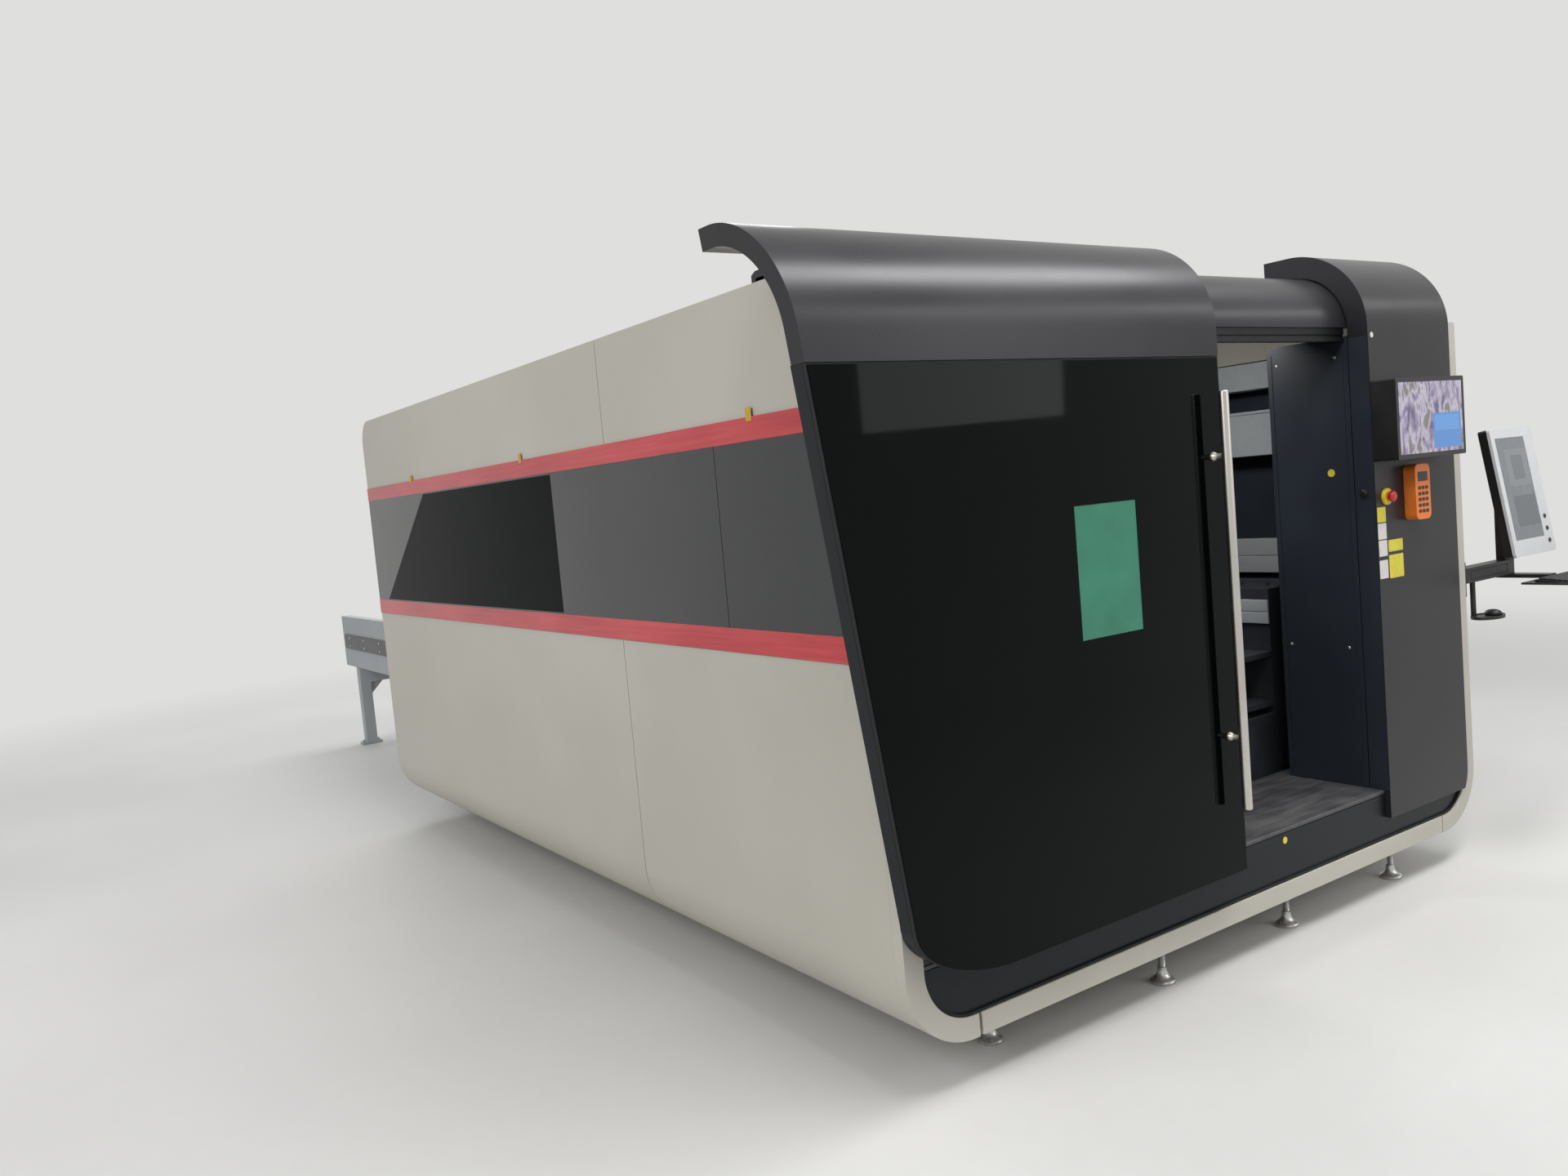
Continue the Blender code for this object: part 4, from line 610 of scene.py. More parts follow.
def capScrew(x, y, z, radius, facing="back"):
    profile = [(0.0, -thinGap), (radius, -thinGap), (radius, 0.0012), (radius * 0.8, 0.0026),
               (radius * 0.45, 0.0032), (radius * 0.40, 0.0018), (0.0, 0.0018)]
    return turned("screw", profile, (x, y, z), facing, 20)


def buildRoof():
    s, r = shell, roof
    back, half = s.length - s.skin / 2, s.half - r.sideGap
    centre = (s.length - s.rearCorner, s.top - s.rearCorner)
    turns = [math.radians(90 * i / r.bendSteps) for i in range(r.bendSteps + 1)]
    path = [(r.front, r.top)]
    path += [(centre[0] + (back - centre[0]) * math.sin(a),
              centre[1] + (r.top - centre[1]) * math.cos(a)) for a in turns]
    path.append((back, centre[1] - s.skin))
    sheet = prism("roofSheet", thickened(path, s.skin), "x", -half, half)
    joints = [slab("tool", (-half - past, y - s.seam / 2, r.top - s.skin / 3),
                   (half + past, y + s.seam / 2, r.top + s.skin)) for y in r.jointY]
    dress(carve(sheet, *joints), powderCoat, "roof_panel", 0.001)


rearWall = specs(
    slot=(-0.920, 0.920, 0.584, 1.100), spigot=(-1.150, 0.500), spigotRadius=0.150,
    spigotWall=0.006, spigotLength=0.110, bead=0.004, beadFrom=0.62, beadTo=0.72,
    screwPitch=0.30, screwRadius=0.006, screwInset=0.035,
    sideScrews=(0.62, 0.92, 1.22, 1.52, 1.82))


def buildRearWall():
    s, w = shell, rearWall
    back = s.length - s.skin / 2
    seat = s.skin + fit
    bore = w.spigotRadius - w.spigotWall
    wall = prism("rearWallSheet", bothHalves(sectionPath(seat, s.top - s.rearCorner - seat)),
                 "y", back - s.skin, back,
                 [rectangle(*w.slot), circle(w.spigot, bore - w.spigotWall, 64)])
    dress(wall, powderCoat, "rear_wall", 0.001)
    # duct spigot: rolled sheet with a stiffening bead near its free end
    end, radius = w.spigotLength, w.spigotRadius - 0.001
    profile = [(bore, 0.0005), (radius, 0.0005), (radius, end * w.beadFrom)]
    profile += [(radius + w.bead * math.sin(math.pi * i / 8) * 0.25, end * (w.beadFrom + 0.01 * i))
                for i in range(1, 8)]
    profile += [(radius, end * w.beadTo), (w.spigotRadius, end), (bore, end), (bore, 0.0005)]
    ring = turned("fumeSpigot", profile, (w.spigot[0], back, w.spigot[1]), "back", 72)
    dress(ring, zincPlate)
    row = s.half - 0.2
    places = [(i * w.screwPitch - row, z) for i in range(int(2 * row / w.screwPitch) + 1)
              for z in (s.base + w.screwInset, s.top - s.rearCorner - 0.06)]
    places += [(x, z) for z in w.sideScrews
               for x in (w.screwInset - s.half, s.half - w.screwInset)]
    dress(merged("rearWallScrews", [capScrew(x, back, z, w.screwRadius) for x, z in places]),
          zincPlate)


feet = specs(
    front=((-1.0, 0.190), (-1 / 3, 0.100), (1 / 3, 0.100), (1.0, 0.100)), rearX=(-1.0, 1.0),
    rearY=(4.250, 2.850, 1.450), top=0.1437, pad=0.040, rod=0.0115, nut=0.019, nutLow=0.118,
    nutHigh=0.135, washer=0.003, pitch=0.003)


def footProfile():
    # pad with a rolled rim, a cone up to the ball joint, and a rod threaded at 3 mm pitch
    f = feet
    profile = [(0.0, 0.0), (f.pad - 0.002, 0.0), (f.pad, 0.002), (f.pad, 0.008),
               (f.pad - 0.003, 0.012), (0.029, 0.0155), (0.021, 0.023), (0.0165, 0.033),
               (0.0150, 0.043), (0.0155, 0.046), (0.0155, 0.050)]
    z = 0.0505
    while z < f.top - 0.004:
        profile += [(f.rod - 0.0012, z), (f.rod, z + f.pitch / 2)]
        z += f.pitch
    return profile + [(f.rod - 0.001, f.top), (0.0, f.top)]


def footPieces(x, y):
    f = feet
    bore, rim, low = f.rod + fit, f.nut + f.washer, f.nutHigh + fit
    nut = prism("nut", circle((x, y), f.nut, 6), "z", f.nutLow, f.nutHigh,
                [circle((x, y), bore, 24)])
    washer = [(bore, low), (rim, low), (rim, low + f.washer), (bore, low + f.washer),
              (bore, low)]
    return [turned("foot", footProfile(), (x, y, 0.0), sides=32), nut,
            turned("washer", washer, (x, y, 0.0), sides=32)]


def buildFeet():
    f, s = feet, shell
    for number, (x, y) in enumerate(f.front, 1):
        dress(merged(f"levellingFoot{number}", footPieces(x, y)), zincPlate,
              f"front_foot_{number}")
    half = s.rimSeamX - s.seam / 2
    plate = slab("undersideSheet", (-half, s.rimDepth + fit, s.base),
                 (half, s.length, s.base + s.skin))
    dress(plate, powderCoat, "underside_panel", 0.001, 1)
    rear = [piece for y in f.rearY for x in f.rearX for piece in footPieces(x, y)]
    dress(merged("rearLevellingFeet", rear), zincPlate)


buildShell()
buildBasePanel()
buildRoof()
buildRearWall()
buildFeet()
print("pale shell, base panel, rear wall and feet done")


# Dark front: doorway hood, right cover, cabinet fittings

doorwayHood = specs(
    front=0.070, arcZ=2.060, radius=0.203, thick=0.020, rear=0.420, half=1.4377,
    trackX=(-1.374, 0.828), trackY=(0.075, 0.095), trackLow=2.011,
    groove=(2.0225, 2.0355, 0.004), grooveSlope=0.002)


def buildDoorwayHood():
    d = doorwayHood
    crest = d.arcZ + d.radius
    path = arcPoints((d.front + d.radius, d.arcZ), d.radius, 180, 90, 36)
    path += [(d.rear, crest), (d.rear + d.thick, crest - d.thick / 2),
             (d.rear + d.thick, roof.top - shell.skin)]
    hood = prism("doorwayHoodSheet", thickened(path, d.thick), "x", -d.half, d.half)
    dress(hood, metallicEnamel, "doorway_hood", 0.002)
    # grooved track under the hood's lip, for the door's shoes
    front, back = d.trackY
    low, top = d.trackLow, d.arcZ - fit
    g0, g1, deep = d.groove
    track = [(front, low), (back, low), (back, top), (front, top), (front, g1),
             (front + deep, g1 - d.grooveSlope), (front + deep, g0 + d.grooveSlope), (front, g0)]
    dress(prism("doorTrack", track, "x", *d.trackX), blackOxide, edge=0.0008)


rightCover = specs(
    front=-0.010, left=0.833, right=1.3837, base=0.285, thick=0.075, arcZ=2.055, radius=0.290,
    rear=0.380, step=0.3853, stepBack=0.0117, cornerRadius=0.1624, edge=0.004, sheet=0.001)
cabinet = specs(
    front=0.0685, rear=0.389, right=1.370, low=0.3853, high=2.030, jointEnds=0.03,
    jointDeep=0.003, joints=((0.0865, 0.0885), (0.369, 0.371)), screwRadius=0.006,
    screws=((0.350, 0.905), (0.119, 0.903), (0.350, 1.960), (0.119, 1.960)))


def buildCover():
    c, b = rightCover, cabinet
    centre = (c.front + c.radius, c.arcZ)
    crest, inner = c.arcZ + c.radius, c.front + c.thick
    outline = [(c.front, c.base)] + arcPoints(centre, c.radius, 180, 90, 40)
    outline += [(c.rear, crest), (c.rear, crest - c.thick)]
    outline += arcPoints(centre, c.radius - c.thick, 90, 180, 30)
    outline += [(inner, c.step), (c.stepBack, c.step), (c.stepBack, c.base)]
    cover = prism("rightCoverShell", outline, "x", c.left + c.sheet, c.right)
    carve(cover, cornerTool((cornerX, cornerZ), c.cornerRadius, 270, "y", c.front - 0.05,
                            inner + 0.04))
    dress(cover, metallicEnamel, "right_cover", c.edge, 3)
    # the cover's side sheet, coated like the cabinet behind it
    sheet = rectangle(c.front + 0.003, inner - 0.001, c.step, c.arcZ - 0.035)
    dress(prism("coverSideSheet", sheet, "x", c.left, c.left + c.sheet - thinGap), cabinetCoat)
    box = slab("controlCabinetBox", (c.left, b.front, b.low), (b.right, b.rear, b.high))
    # door joint and hinge-side fold on the side that shows
    tools = [slab("tool", (c.left - past, y0, b.low + b.jointEnds),
                  (c.left + b.jointDeep, y1, b.high - b.jointEnds)) for y0, y1 in b.joints]
    dress(carve(box, *tools), cabinetCoat, "control_cabinet", 0.003, 3)
    screws = [capScrew(c.left - 0.0001, y, z, b.screwRadius, "left") for y, z in b.screws]
    dress(merged("cabinetScrews", screws), zincPlate)


coverFittings = specs(
    # blank plates on the cover: left, low, width, height
    plates=specs(
        yellow=((0.838, 1.358, 0.054, 0.054), (0.901, 1.248, 0.094, 0.042),
                (0.901, 1.152, 0.094, 0.084)),
        white=((0.838, 1.297, 0.054, 0.057), (0.839, 1.236, 0.054, 0.057),
               (0.838, 1.156, 0.054, 0.066))),
    plateThick=0.0006, plateCorner=0.003,
    # round dots of marking vinyl: two coordinates on the face, radius
    cabinetDot=(0.152, 1.546, 0.014), baseDot=(0.220, 0.345, 0.012),
    coverDot=(0.858, 2.022, 0.010),
    # strips of tape on the upper stripe's top edge: place along the flank, width
    tapes=((0.491, 0.030), (2.182, 0.026), (3.592, 0.030)), tapeZ=(1.860, 1.898),
    stripeProud=0.0067, lockY=0.030, lockZ=1.466, lockRadius=0.014)


def disc(spot, axis, face):
    return prism("dot", circle(spot[:2], spot[2], 32), axis, face - coverFittings.plateThick,
                 face)


def buildCoverFittings():
    c = coverFittings
    face, side = rightCover.front - thinGap, rightCover.left - thinGap
    for shade, vinyl in (("yellow", yellowVinyl), ("white", whiteVinyl)):
        sheets = [roundedBar("plate", (x, x + w, z, z + h), c.plateCorner, "y",
                             face - c.plateThick, face) for x, z, w, h in c.plates[shade]]
        dress(merged("blankPlates" + shade.title(), sheets), vinyl)
    dots = [disc(c.cabinetDot, "x", side), disc(c.baseDot, "y", basePanel.front - thinGap)]
    dress(merged("markingDots", dots), yellowVinyl)
    dress(merged("paleDot", [disc(c.coverDot, "y", face)]), whiteVinyl)
    flank = -(shell.half + c.stripeProud)
    tapes = [slab("tape", (flank - c.plateThick, y - w / 2, c.tapeZ[0]),
                  (flank, y + w / 2, c.tapeZ[1])) for y, w in c.tapes]
    dress(merged("tapeStrips", tapes), crepeTape)
    # cam lock in the cover's side
    lock = [(0.0, 0.009), (0.008, 0.009), (0.0085, 0.0075), (c.lockRadius, 0.006),
            (c.lockRadius, 0.0), (0.0, 0.0)]
    dress(turned("camLock", lock, (side, c.lockY, c.lockZ), "left", 40), mouldedPlastic,
          edge=0.0006)


buildDoorwayHood()
buildCover()
buildCoverFittings()
print("hoods, cover and fittings done")


# Sliding door

door = specs(
    lapLow=0.006, lapTop=0.197, slantBase=0.520, corner=0.354, base=0.338, top=1.950,
    right=-0.092, front=-0.064, back=-0.004, glassThick=0.0137, glassInset=0.0052,
    sealInset=0.0006, hoodRadius=0.298, hoodArcZ=2.032, hoodThick=0.056, hoodRear=0.275,
    window=(-0.770, -0.514, 1.165, 1.542), ledge=0.010, clampMargin=0.018,
    hangerInset=0.220, hangerWidth=0.120, hangerLow=1.830, hangerY=(-0.0038, -thinGap),
    shoe=(2.023, 2.035), shoeReach=0.0747, guide=(0.342, 0.354), guideReach=0.0117,
    handleInset=0.054, handleReach=0.050, handleRadius=0.015, handleEnd=0.004,
    handleLow=0.554, handleHigh=1.840, studs=(0.777, 1.645), cornerSteps=40)


def slantX(z):
    d = door
    run = (d.lapTop - d.lapLow) * (z - d.slantBase) / (d.top - d.slantBase)
    return -(shell.half + d.lapLow) - run


def doorOutline(gap):
    # the door from the front, with a gap kept all round
    d = door
    across, rise = d.corner - gap, d.slantBase - d.base - gap
    middle, top = d.corner - shell.half - d.lapLow, d.top - fit - gap
    outline = [(slantX(top) + gap, top)]
    for i in range(d.cornerSteps + 1):
        angle = math.radians(180 + 90 * i / d.cornerSteps)
        outline.append((middle + across * math.cos(angle), d.slantBase + rise * math.sin(angle)))
    return outline + [(d.right - gap, d.base + gap), (d.right - gap, top)]


def buildLeaf():
    d = door
    w0, w1, z0, z1 = d.window
    glassBack = d.front + d.glassThick
    leaf = prism("doorLeafShell", doorOutline(0.0), "y", glassBack + fit, d.back)
    carve(leaf, slab("tool", (w0 + d.ledge, d.front, z0 + d.ledge),
                     (w1 - d.ledge, d.back + past, z1 - d.ledge)))
    dress(leaf, baseCoat, "door_leaf", 0.0015, body="door")
    hangers = []
    for x in (d.hangerInset - shell.half - d.lapLow, d.right - d.hangerInset - d.hangerWidth):
        right, (y0, y1) = x + d.hangerWidth, d.hangerY
        hangers += [slab("plate", (x, y0, d.hangerLow), (right, y1, d.shoe[1])),
                    slab("shoe", (x, -0.0001, d.shoe[0]), (right, d.shoeReach, d.shoe[1])),
                    slab("guide", (x, y0, d.guide[0]), (right, d.guideReach, d.guide[1]))]
    dress(merged("doorHangers", hangers), zincPlate, None, 0.001, body="door")
    # bonded glass, and the rubber bead that closes its edge against the leaf
    glass = prism("doorGlassSheet", doorOutline(d.glassInset), "y", d.front, glassBack)
    carve(glass, slab("tool", (w0 - fit, d.front - past, z0 - fit),
                      (w1 + fit, glassBack + past, z1 + fit)))
    dress(glass, tintedGlass, "door_glass", 0.0008, body="door")
    bead = prism("doorGlassBead", doorOutline(d.sealInset), "y", d.front + 0.002, glassBack,
                 [doorOutline(d.glassInset - 0.0004)])
    dress(bead, sealRubber, None, 0.0008, body="door")


def buildDoorHood():
    d = door
    crest = d.hoodArcZ + d.hoodRadius
    path = [(d.front, d.top)]
    path += arcPoints((d.front + d.hoodRadius, d.hoodArcZ), d.hoodRadius, 180, 90, 44)
    path.append((d.hoodRear, crest))
    beyond = slantX(crest) - 0.02
    hood = prism("doorHoodShell", thickened(path, d.hoodThick), "x", beyond, d.right)
    low, high = d.top - past, crest + past
    slant = [(slantX(low), low), (slantX(high), high), (beyond - past, high),
             (beyond - past, low)]
    carve(hood, prism("tool", slant, "y", d.front - past, d.hoodRear + past))
    dress(hood, metallicEnamel, "door_hood", 0.004, 3, body="door")


def buildHandle():
    # long bar with domed ends on two flanged studs
    d = door
    x, y, end = d.right - d.handleInset, d.front - d.handleReach, d.handleEnd
    profile = [(0.0, d.handleLow)]
    profile += [(d.handleRadius - end + end * math.sin(math.radians(a)),
                 d.handleLow + end - end * math.cos(math.radians(a))) for a in range(0, 91, 15)]
    profile += [(r, d.handleLow + d.handleHigh - h) for r, h in reversed(profile)]
    stud = [(0.0, 0.0), (0.0085, 0.0), (0.0085, 0.034), (0.0095, 0.036), (0.0145, 0.0445),
            (0.0145, 0.0497), (0.0, 0.0497)]
    parts = [turned("bar", profile, (x, y, 0.0))]
    parts += [turned("stud", stud, (x, y, z), "back", 32) for z in d.studs]
    dress(merged("barHandle", parts), brushedStainless, "pull_handle", body="door")


def buildClamp():
    # steel frame that holds the laser filter sheet from behind
    d = door
    outer, inner = [rectangle(d.window[0] - wide, d.window[1] + wide, d.window[2] - wide,
                              d.window[3] + wide) for wide in (d.clampMargin, -d.ledge)]
    clamp = prism("filterClamp", outer, "y", d.back + thinGap, d.back + 0.003, [inner])
    dress(clamp, blackOxide, None, 0.0006, body="door")


buildLeaf()
buildDoorHood()
buildHandle()
buildClamp()
print("door done")


# Inside: linings, trunking, guards, gantry and cutting head

interior = specs(
    # linings of the side walls: side, low, high
    linings=((-1, 0.400, 2.040), (1, 0.400, 1.112), (1, 1.265, 1.628), (1, 1.822, 1.912),
             (1, 2.028, 2.040)),
    liningY=(0.460, 4.360), liningThick=0.001,
    # light grey panels on the right wall and on both sides of the bed: x0, x1, z0, z1
    wallPanels=((1.4085, 1.4375, 1.1135, 1.1880), (1.4085, 1.4375, 1.1895, 1.2635),
                (1.3180, 1.4375, 1.9135, 2.0265)),
    bedPanels=((0.9400, 0.9497, 0.960, 1.006), (0.9400, 0.9497, 1.0075, 1.056)),
    panelY=(0.520, 4.200), panelCorner=0.003,
    trunking=(1.3077, 1.4377, 1.630, 1.820), trunkingY=(0.520, 4.300), lidDrop=0.012,
    lidsY=((0.520, 2.408), (2.411, 4.300)),
    lightBar=(0.520, 0.560, 2.1585, 2.1985), lightBarX=(-0.30, 0.30),
    bedTop=1.100, railX=1.070, railHalf=0.020, seatWidth=0.018, seatTall=0.006,
    seatY=(0.530, 4.290), screwStart=0.58, screwPitch=0.12, screws=30)


def buildInterior():
    i = interior
    inner = shell.half - shell.skin - fit
    sheets = []
    for side, low, high in i.linings:
        x0, x1 = sorted((side * inner, side * (inner - i.liningThick)))
        sheets.append(slab("lining", (x0, i.liningY[0], low), (x1, i.liningY[1], high)))
    dress(merged("sideLinings", sheets), cabinetCoat)
    boxes = list(i.wallPanels)
    for x0, x1, z0, z1 in i.bedPanels:
        boxes += [(x0, x1, z0, z1), (-x1, -x0, z0, z1)]
    panels = [roundedBar("panel", box, i.panelCorner, "y", *i.panelY) for box in boxes]
    dress(merged("guardPanels", panels), machinePaint, edge=0.001)
    # trunking with a snap-on lid, cut into two-metre lengths
    x0, x1, z0, z1 = i.trunking
    bottom = prism("trunkingBase", rectangle(x0, x1, z0, z1 - i.lidDrop), "y", *i.trunkingY)
    dress(bottom, machinePaint, "cable_trunking", 0.003)
    lid = (x0 - 0.002, x1, z1 - i.lidDrop + 0.001, z1 + 0.0015)
    lids = [roundedBar("lid", lid, 0.002, "y", *span) for span in i.lidsY]
    dress(merged("trunkingLids", lids), machinePaint, edge=0.0008)
    # bar above the doorway that carries the work light
    dress(roundedBar("lightBar", i.lightBar, 0.006, "x", *i.lightBarX), clearAnodised,
          edge=0.001)
    # ground seats beside the linear rails, and the screws that hold the rails down
    profile = [(0.0, 0.0), (0.0055, 0.0), (0.0055, 0.0045), (0.0048, 0.0055),
               (0.0026, 0.0055), (0.0024, 0.0030), (0.0, 0.0030)]
    seats, screws = [], []
    for rail, edge in ((-1, -1), (-1, 1), (1, -1), (1, 1)):
        x = rail * i.railX
        x0, x1 = sorted((x + edge * (i.railHalf + fit), x + edge * (i.railHalf + i.seatWidth)))
        seats.append(slab("seat", (x0, i.seatY[0], i.bedTop + fit),
                          (x1, i.seatY[1], i.bedTop + i.seatTall)))
        x += edge * (i.railHalf + i.seatWidth / 2)
        screws += [turned("screw", profile, (x, i.screwStart + n * i.screwPitch,
                                             i.bedTop + i.seatTall + thinGap), sides=12)
                   for n in range(i.screws)]
    dress(merged("railSeats", seats), groundSteel, edge=0.0006)
    dress(merged("railScrews", screws), blackOxide)


gantry = specs(
    front=3.420, depth=0.260, truckIn=0.980, truckOut=1.220, truckBase=1.1253, base=1.260,
    top=1.500, chamfer=0.040, pockets=6, pocketStart=-0.90, pocketPitch=0.302,
    pocketWidth=0.262, pocketDeep=0.02, pocketInset=0.05, railZ=(1.300, 1.452),
    railTall=0.018, railDeep=0.0115, railHalf=0.950, rackZ=(1.372, 1.398), rackDeep=0.012,
    motorX=1.100, motorY=3.590, motorHalf=0.042, motorTall=0.150, flange=0.01,
    flangeTall=0.012)


def buildGantry():
    g = gantry
    inner, outer, cut = g.truckIn, g.truckOut, g.chamfer
    bridge = [(-outer, g.truckBase), (-inner, g.truckBase), (-inner, g.base), (inner, g.base),
              (inner, g.truckBase), (outer, g.truckBase), (outer, g.top - cut),
              (outer - cut, g.top), (cut - outer, g.top), (-outer, g.top - cut)]
    rear, face = g.front + g.depth, g.front - fit
    beam = prism("gantryBridge", bridge, "y", g.front, rear)
    # cast pockets in the rear face, with ribs between them
    starts = [g.pocketStart + n * g.pocketPitch for n in range(g.pockets)]
    pockets = [slab("tool", (x, rear - g.pocketDeep, g.base + g.pocketInset),
                    (x + g.pocketWidth, rear + g.pocketDeep, g.top - g.pocketInset))
               for x in starts]
    dress(carve(beam, *pockets), clearAnodised, "gantry_beam", 0.005, 3, body="gantry")
    rails = [slab("rail", (-g.railHalf, face - g.railDeep, z), (g.railHalf, face, z + g.railTall))
             for z in g.railZ]
    rails.append(prism("rack", rectangle(g.front - g.rackDeep, face, *g.rackZ), "x",
                       -g.railHalf, g.railHalf))
    dress(merged("gantryRails", rails), groundSteel, None, 0.001, body="gantry")
    plug = [(0.0, 0.0), (0.013, 0.0), (0.013, 0.022), (0.010, 0.026), (0.010, 0.034),
            (0.0, 0.034)]
    motors, z = [], g.top + fit
    for x in (-g.motorX, g.motorX):
        y, h = g.motorY, g.motorHalf
        wide = h + g.flange
        motors += [roundedBar("flange", (x - wide, x + wide, y - wide, y + wide), 0.012, "z",
                              z, z + g.flangeTall),
                   roundedBar("motor", (x - h, x + h, y - h, y + h), 0.014, "z",
                              z + g.flangeTall + fit, z + g.motorTall),
                   turned("plug", plug, (x, y, z + g.motorTall + fit), sides=24)]
    dress(merged("gantryMotors", motors), mouldedPlastic, None, 0.0015, body="gantry")


carriage = specs(
    left=0.220, right=0.480, front=3.3497, back=3.4060, low=1.235, high=1.620, corner=0.014,
    plateFront=0.020, coverThick=0.0197, coverInset=0.022, guideHalf=0.018, blockLong=0.070,
    blockInset=0.012, blockLip=0.008)


def runnerBlock(x, z):
    # carriage block that straddles a rail, open towards it
    g, c = gantry, carriage
    gap, low, high = 0.0006, z - c.blockLip, z + g.railTall + c.blockLip
    front, back, rail = c.back + fit, g.front - 0.0008, g.front - fit - g.railDeep
    outline = [(front, low), (back, low), (back, z - gap), (rail - gap, z - gap),
               (rail - gap, z + g.railTall + gap), (back, z + g.railTall + gap), (back, high),
               (front, high)]
    return prism("runner", outline, "x", x, x + c.blockLong)


def buildCarriage():
    g, c, h = gantry, carriage, head
    plate = roundedBar("carriagePlate", (c.left, c.right, c.low, c.high), c.corner, "y",
                       c.front + c.plateFront, c.back)
    dress(plate, clearAnodised, "head_carriage", 0.002, body="carriage")
    inset = h.plateHalf + c.coverInset / 2
    covers = [roundedBar("cover", (x0, x1, c.low + 0.01, c.high - 0.004), 0.010, "y", c.front,
                         c.front + c.coverThick)
              for x0, x1 in ((c.left + 0.004, h.x - inset), (h.x + inset, c.right - 0.004))]
    dress(merged("carriageCovers", covers), metallicEnamel, None, 0.003, 3, body="carriage")
    # upright guide between the covers, on which the head's plate slides
    guide = slab("guide", (h.x - c.guideHalf, c.front + 0.0006, c.low + 0.012),
                 (h.x + c.guideHalf, c.front + c.coverThick, c.high - 0.006))
    runners = [runnerBlock(x, z) for z in g.railZ
               for x in (c.left + c.blockInset, c.right - c.blockInset - c.blockLong)]
    dress(merged("carriageGuides", [guide, *runners]), groundSteel, None, 0.001,
          body="carriage")


head = specs(x=0.350, y=3.2847, plateHalf=0.054, plateLow=1.280, plateHigh=1.530,
             plateBack=3.3494, top=1.560, radius=0.045, tip=1.060, drawer=(1.292, 1.328),
             portTop=1.5325)


def buildHead():
    h = head
    x, y, tip, r = h.x, h.y, h.tip, h.radius
    mount = slab("headMount", (x - h.plateHalf, y + 0.030, h.plateLow),
                 (x + h.plateHalf, h.plateBack - 0.0005, h.plateHigh))
    dress(mount, clearAnodised, None, 0.003, 3, body="head")
    # optical body: collimator, focusing barrel and lens drawer
    barrel = [(0.0, 1.210), (0.036, 1.210), (0.036, 1.268), (0.034, 1.270), (0.034, 1.276),
              (r, 1.280), (r, 1.338), (r - 0.003, 1.341), (r - 0.003, 1.349), (r, 1.352),
              (r, 1.452), (r - 0.004, 1.456), (r - 0.004, 1.466), (r - 0.001, 1.470),
              (r - 0.001, 1.532), (r - 0.006, 1.540), (0.028, 1.544), (0.028, h.top - 0.002),
              (0.026, h.top), (0.0, h.top)]
    dress(turned("headBarrel", barrel, (x, y, 0.0), sides=64), clearAnodised, "cutting_head",
          body="head", sharp=30)
    port = [(0.0, 0.0), (0.007, 0.0), (0.007, 0.008), (0.0055, 0.010), (0.0055, 0.020),
            (0.0, 0.020)]
    fittings = [roundedBar("drawer", (x - 0.024, x + 0.024, *h.drawer), 0.004, "y", y - 0.0530,
                           y - 0.030)]
    fittings += [turned("port", port, (x + offset, y, h.portTop), sides=20)
                 for offset in (-0.044, 0.044)]
    dress(merged("headFittings", fittings), mouldedPlastic, None, 0.0008, body="head")
    ring = [(0.0, 1.131), (0.021, 1.131), (0.024, 1.135), (0.024, 1.148), (0.0, 1.148)]
    dress(turned("ceramicRing", ring, (x, y, 0.0)), firedCeramic, None, 0.0005, body="head")
    collar = [(0.0, 1.1483), (0.030, 1.1483), (0.033, 1.152), (0.033, 1.2097), (0.0, 1.2097)]
    dress(turned("nozzleHolder", collar, (x, y, 0.0)), blackOxide, None, 0.001, body="head")
    nozzle = [(0.0008, 0.0), (0.0030, 0.0), (0.0050, 0.004), (0.0130, 0.026), (0.0150, 0.030),
              (0.0150, 0.046), (0.0165, 0.049), (0.0165, 0.0707), (0.0008, 0.0707),
              (0.0008, 0.0)]
    dress(turned("nozzle", nozzle, (x, y, tip), sides=40), nozzleCopper, body="head", sharp=30)


pallet = specs(
    half=0.800, length=3.040, height=0.120, border=0.060, start=0.850, travel=3.575,
    levels=specs(upper=0.850, lower=0.650), slatPitch=0.095, slatThick=0.004, slatLow=0.030,
    toothPitch=0.030, toothDepth=0.018, tipFlat=0.003, barsY=(0.75, 1.50, 2.25),
    barWidth=0.05, barZ=(0.002, 0.032))


def slatOutline(level):
    # toothed strip: triangular teeth with small flats, notched from flat bar
    p = pallet
    inner = p.half - p.border
    base, top = level + p.slatLow, level + p.height
    count = int(2 * inner / p.toothPitch)
    step = 2 * inner / count
    points = [(-inner, base), (inner, base)]
    for i in range(count):
        x = inner - i * step
        points += [(x, top - p.toothDepth), (x - step / 2 + p.tipFlat / 2, top),
                   (x - step / 2 - p.tipFlat / 2, top)]
    return points + [(-inner, top - p.toothDepth)]


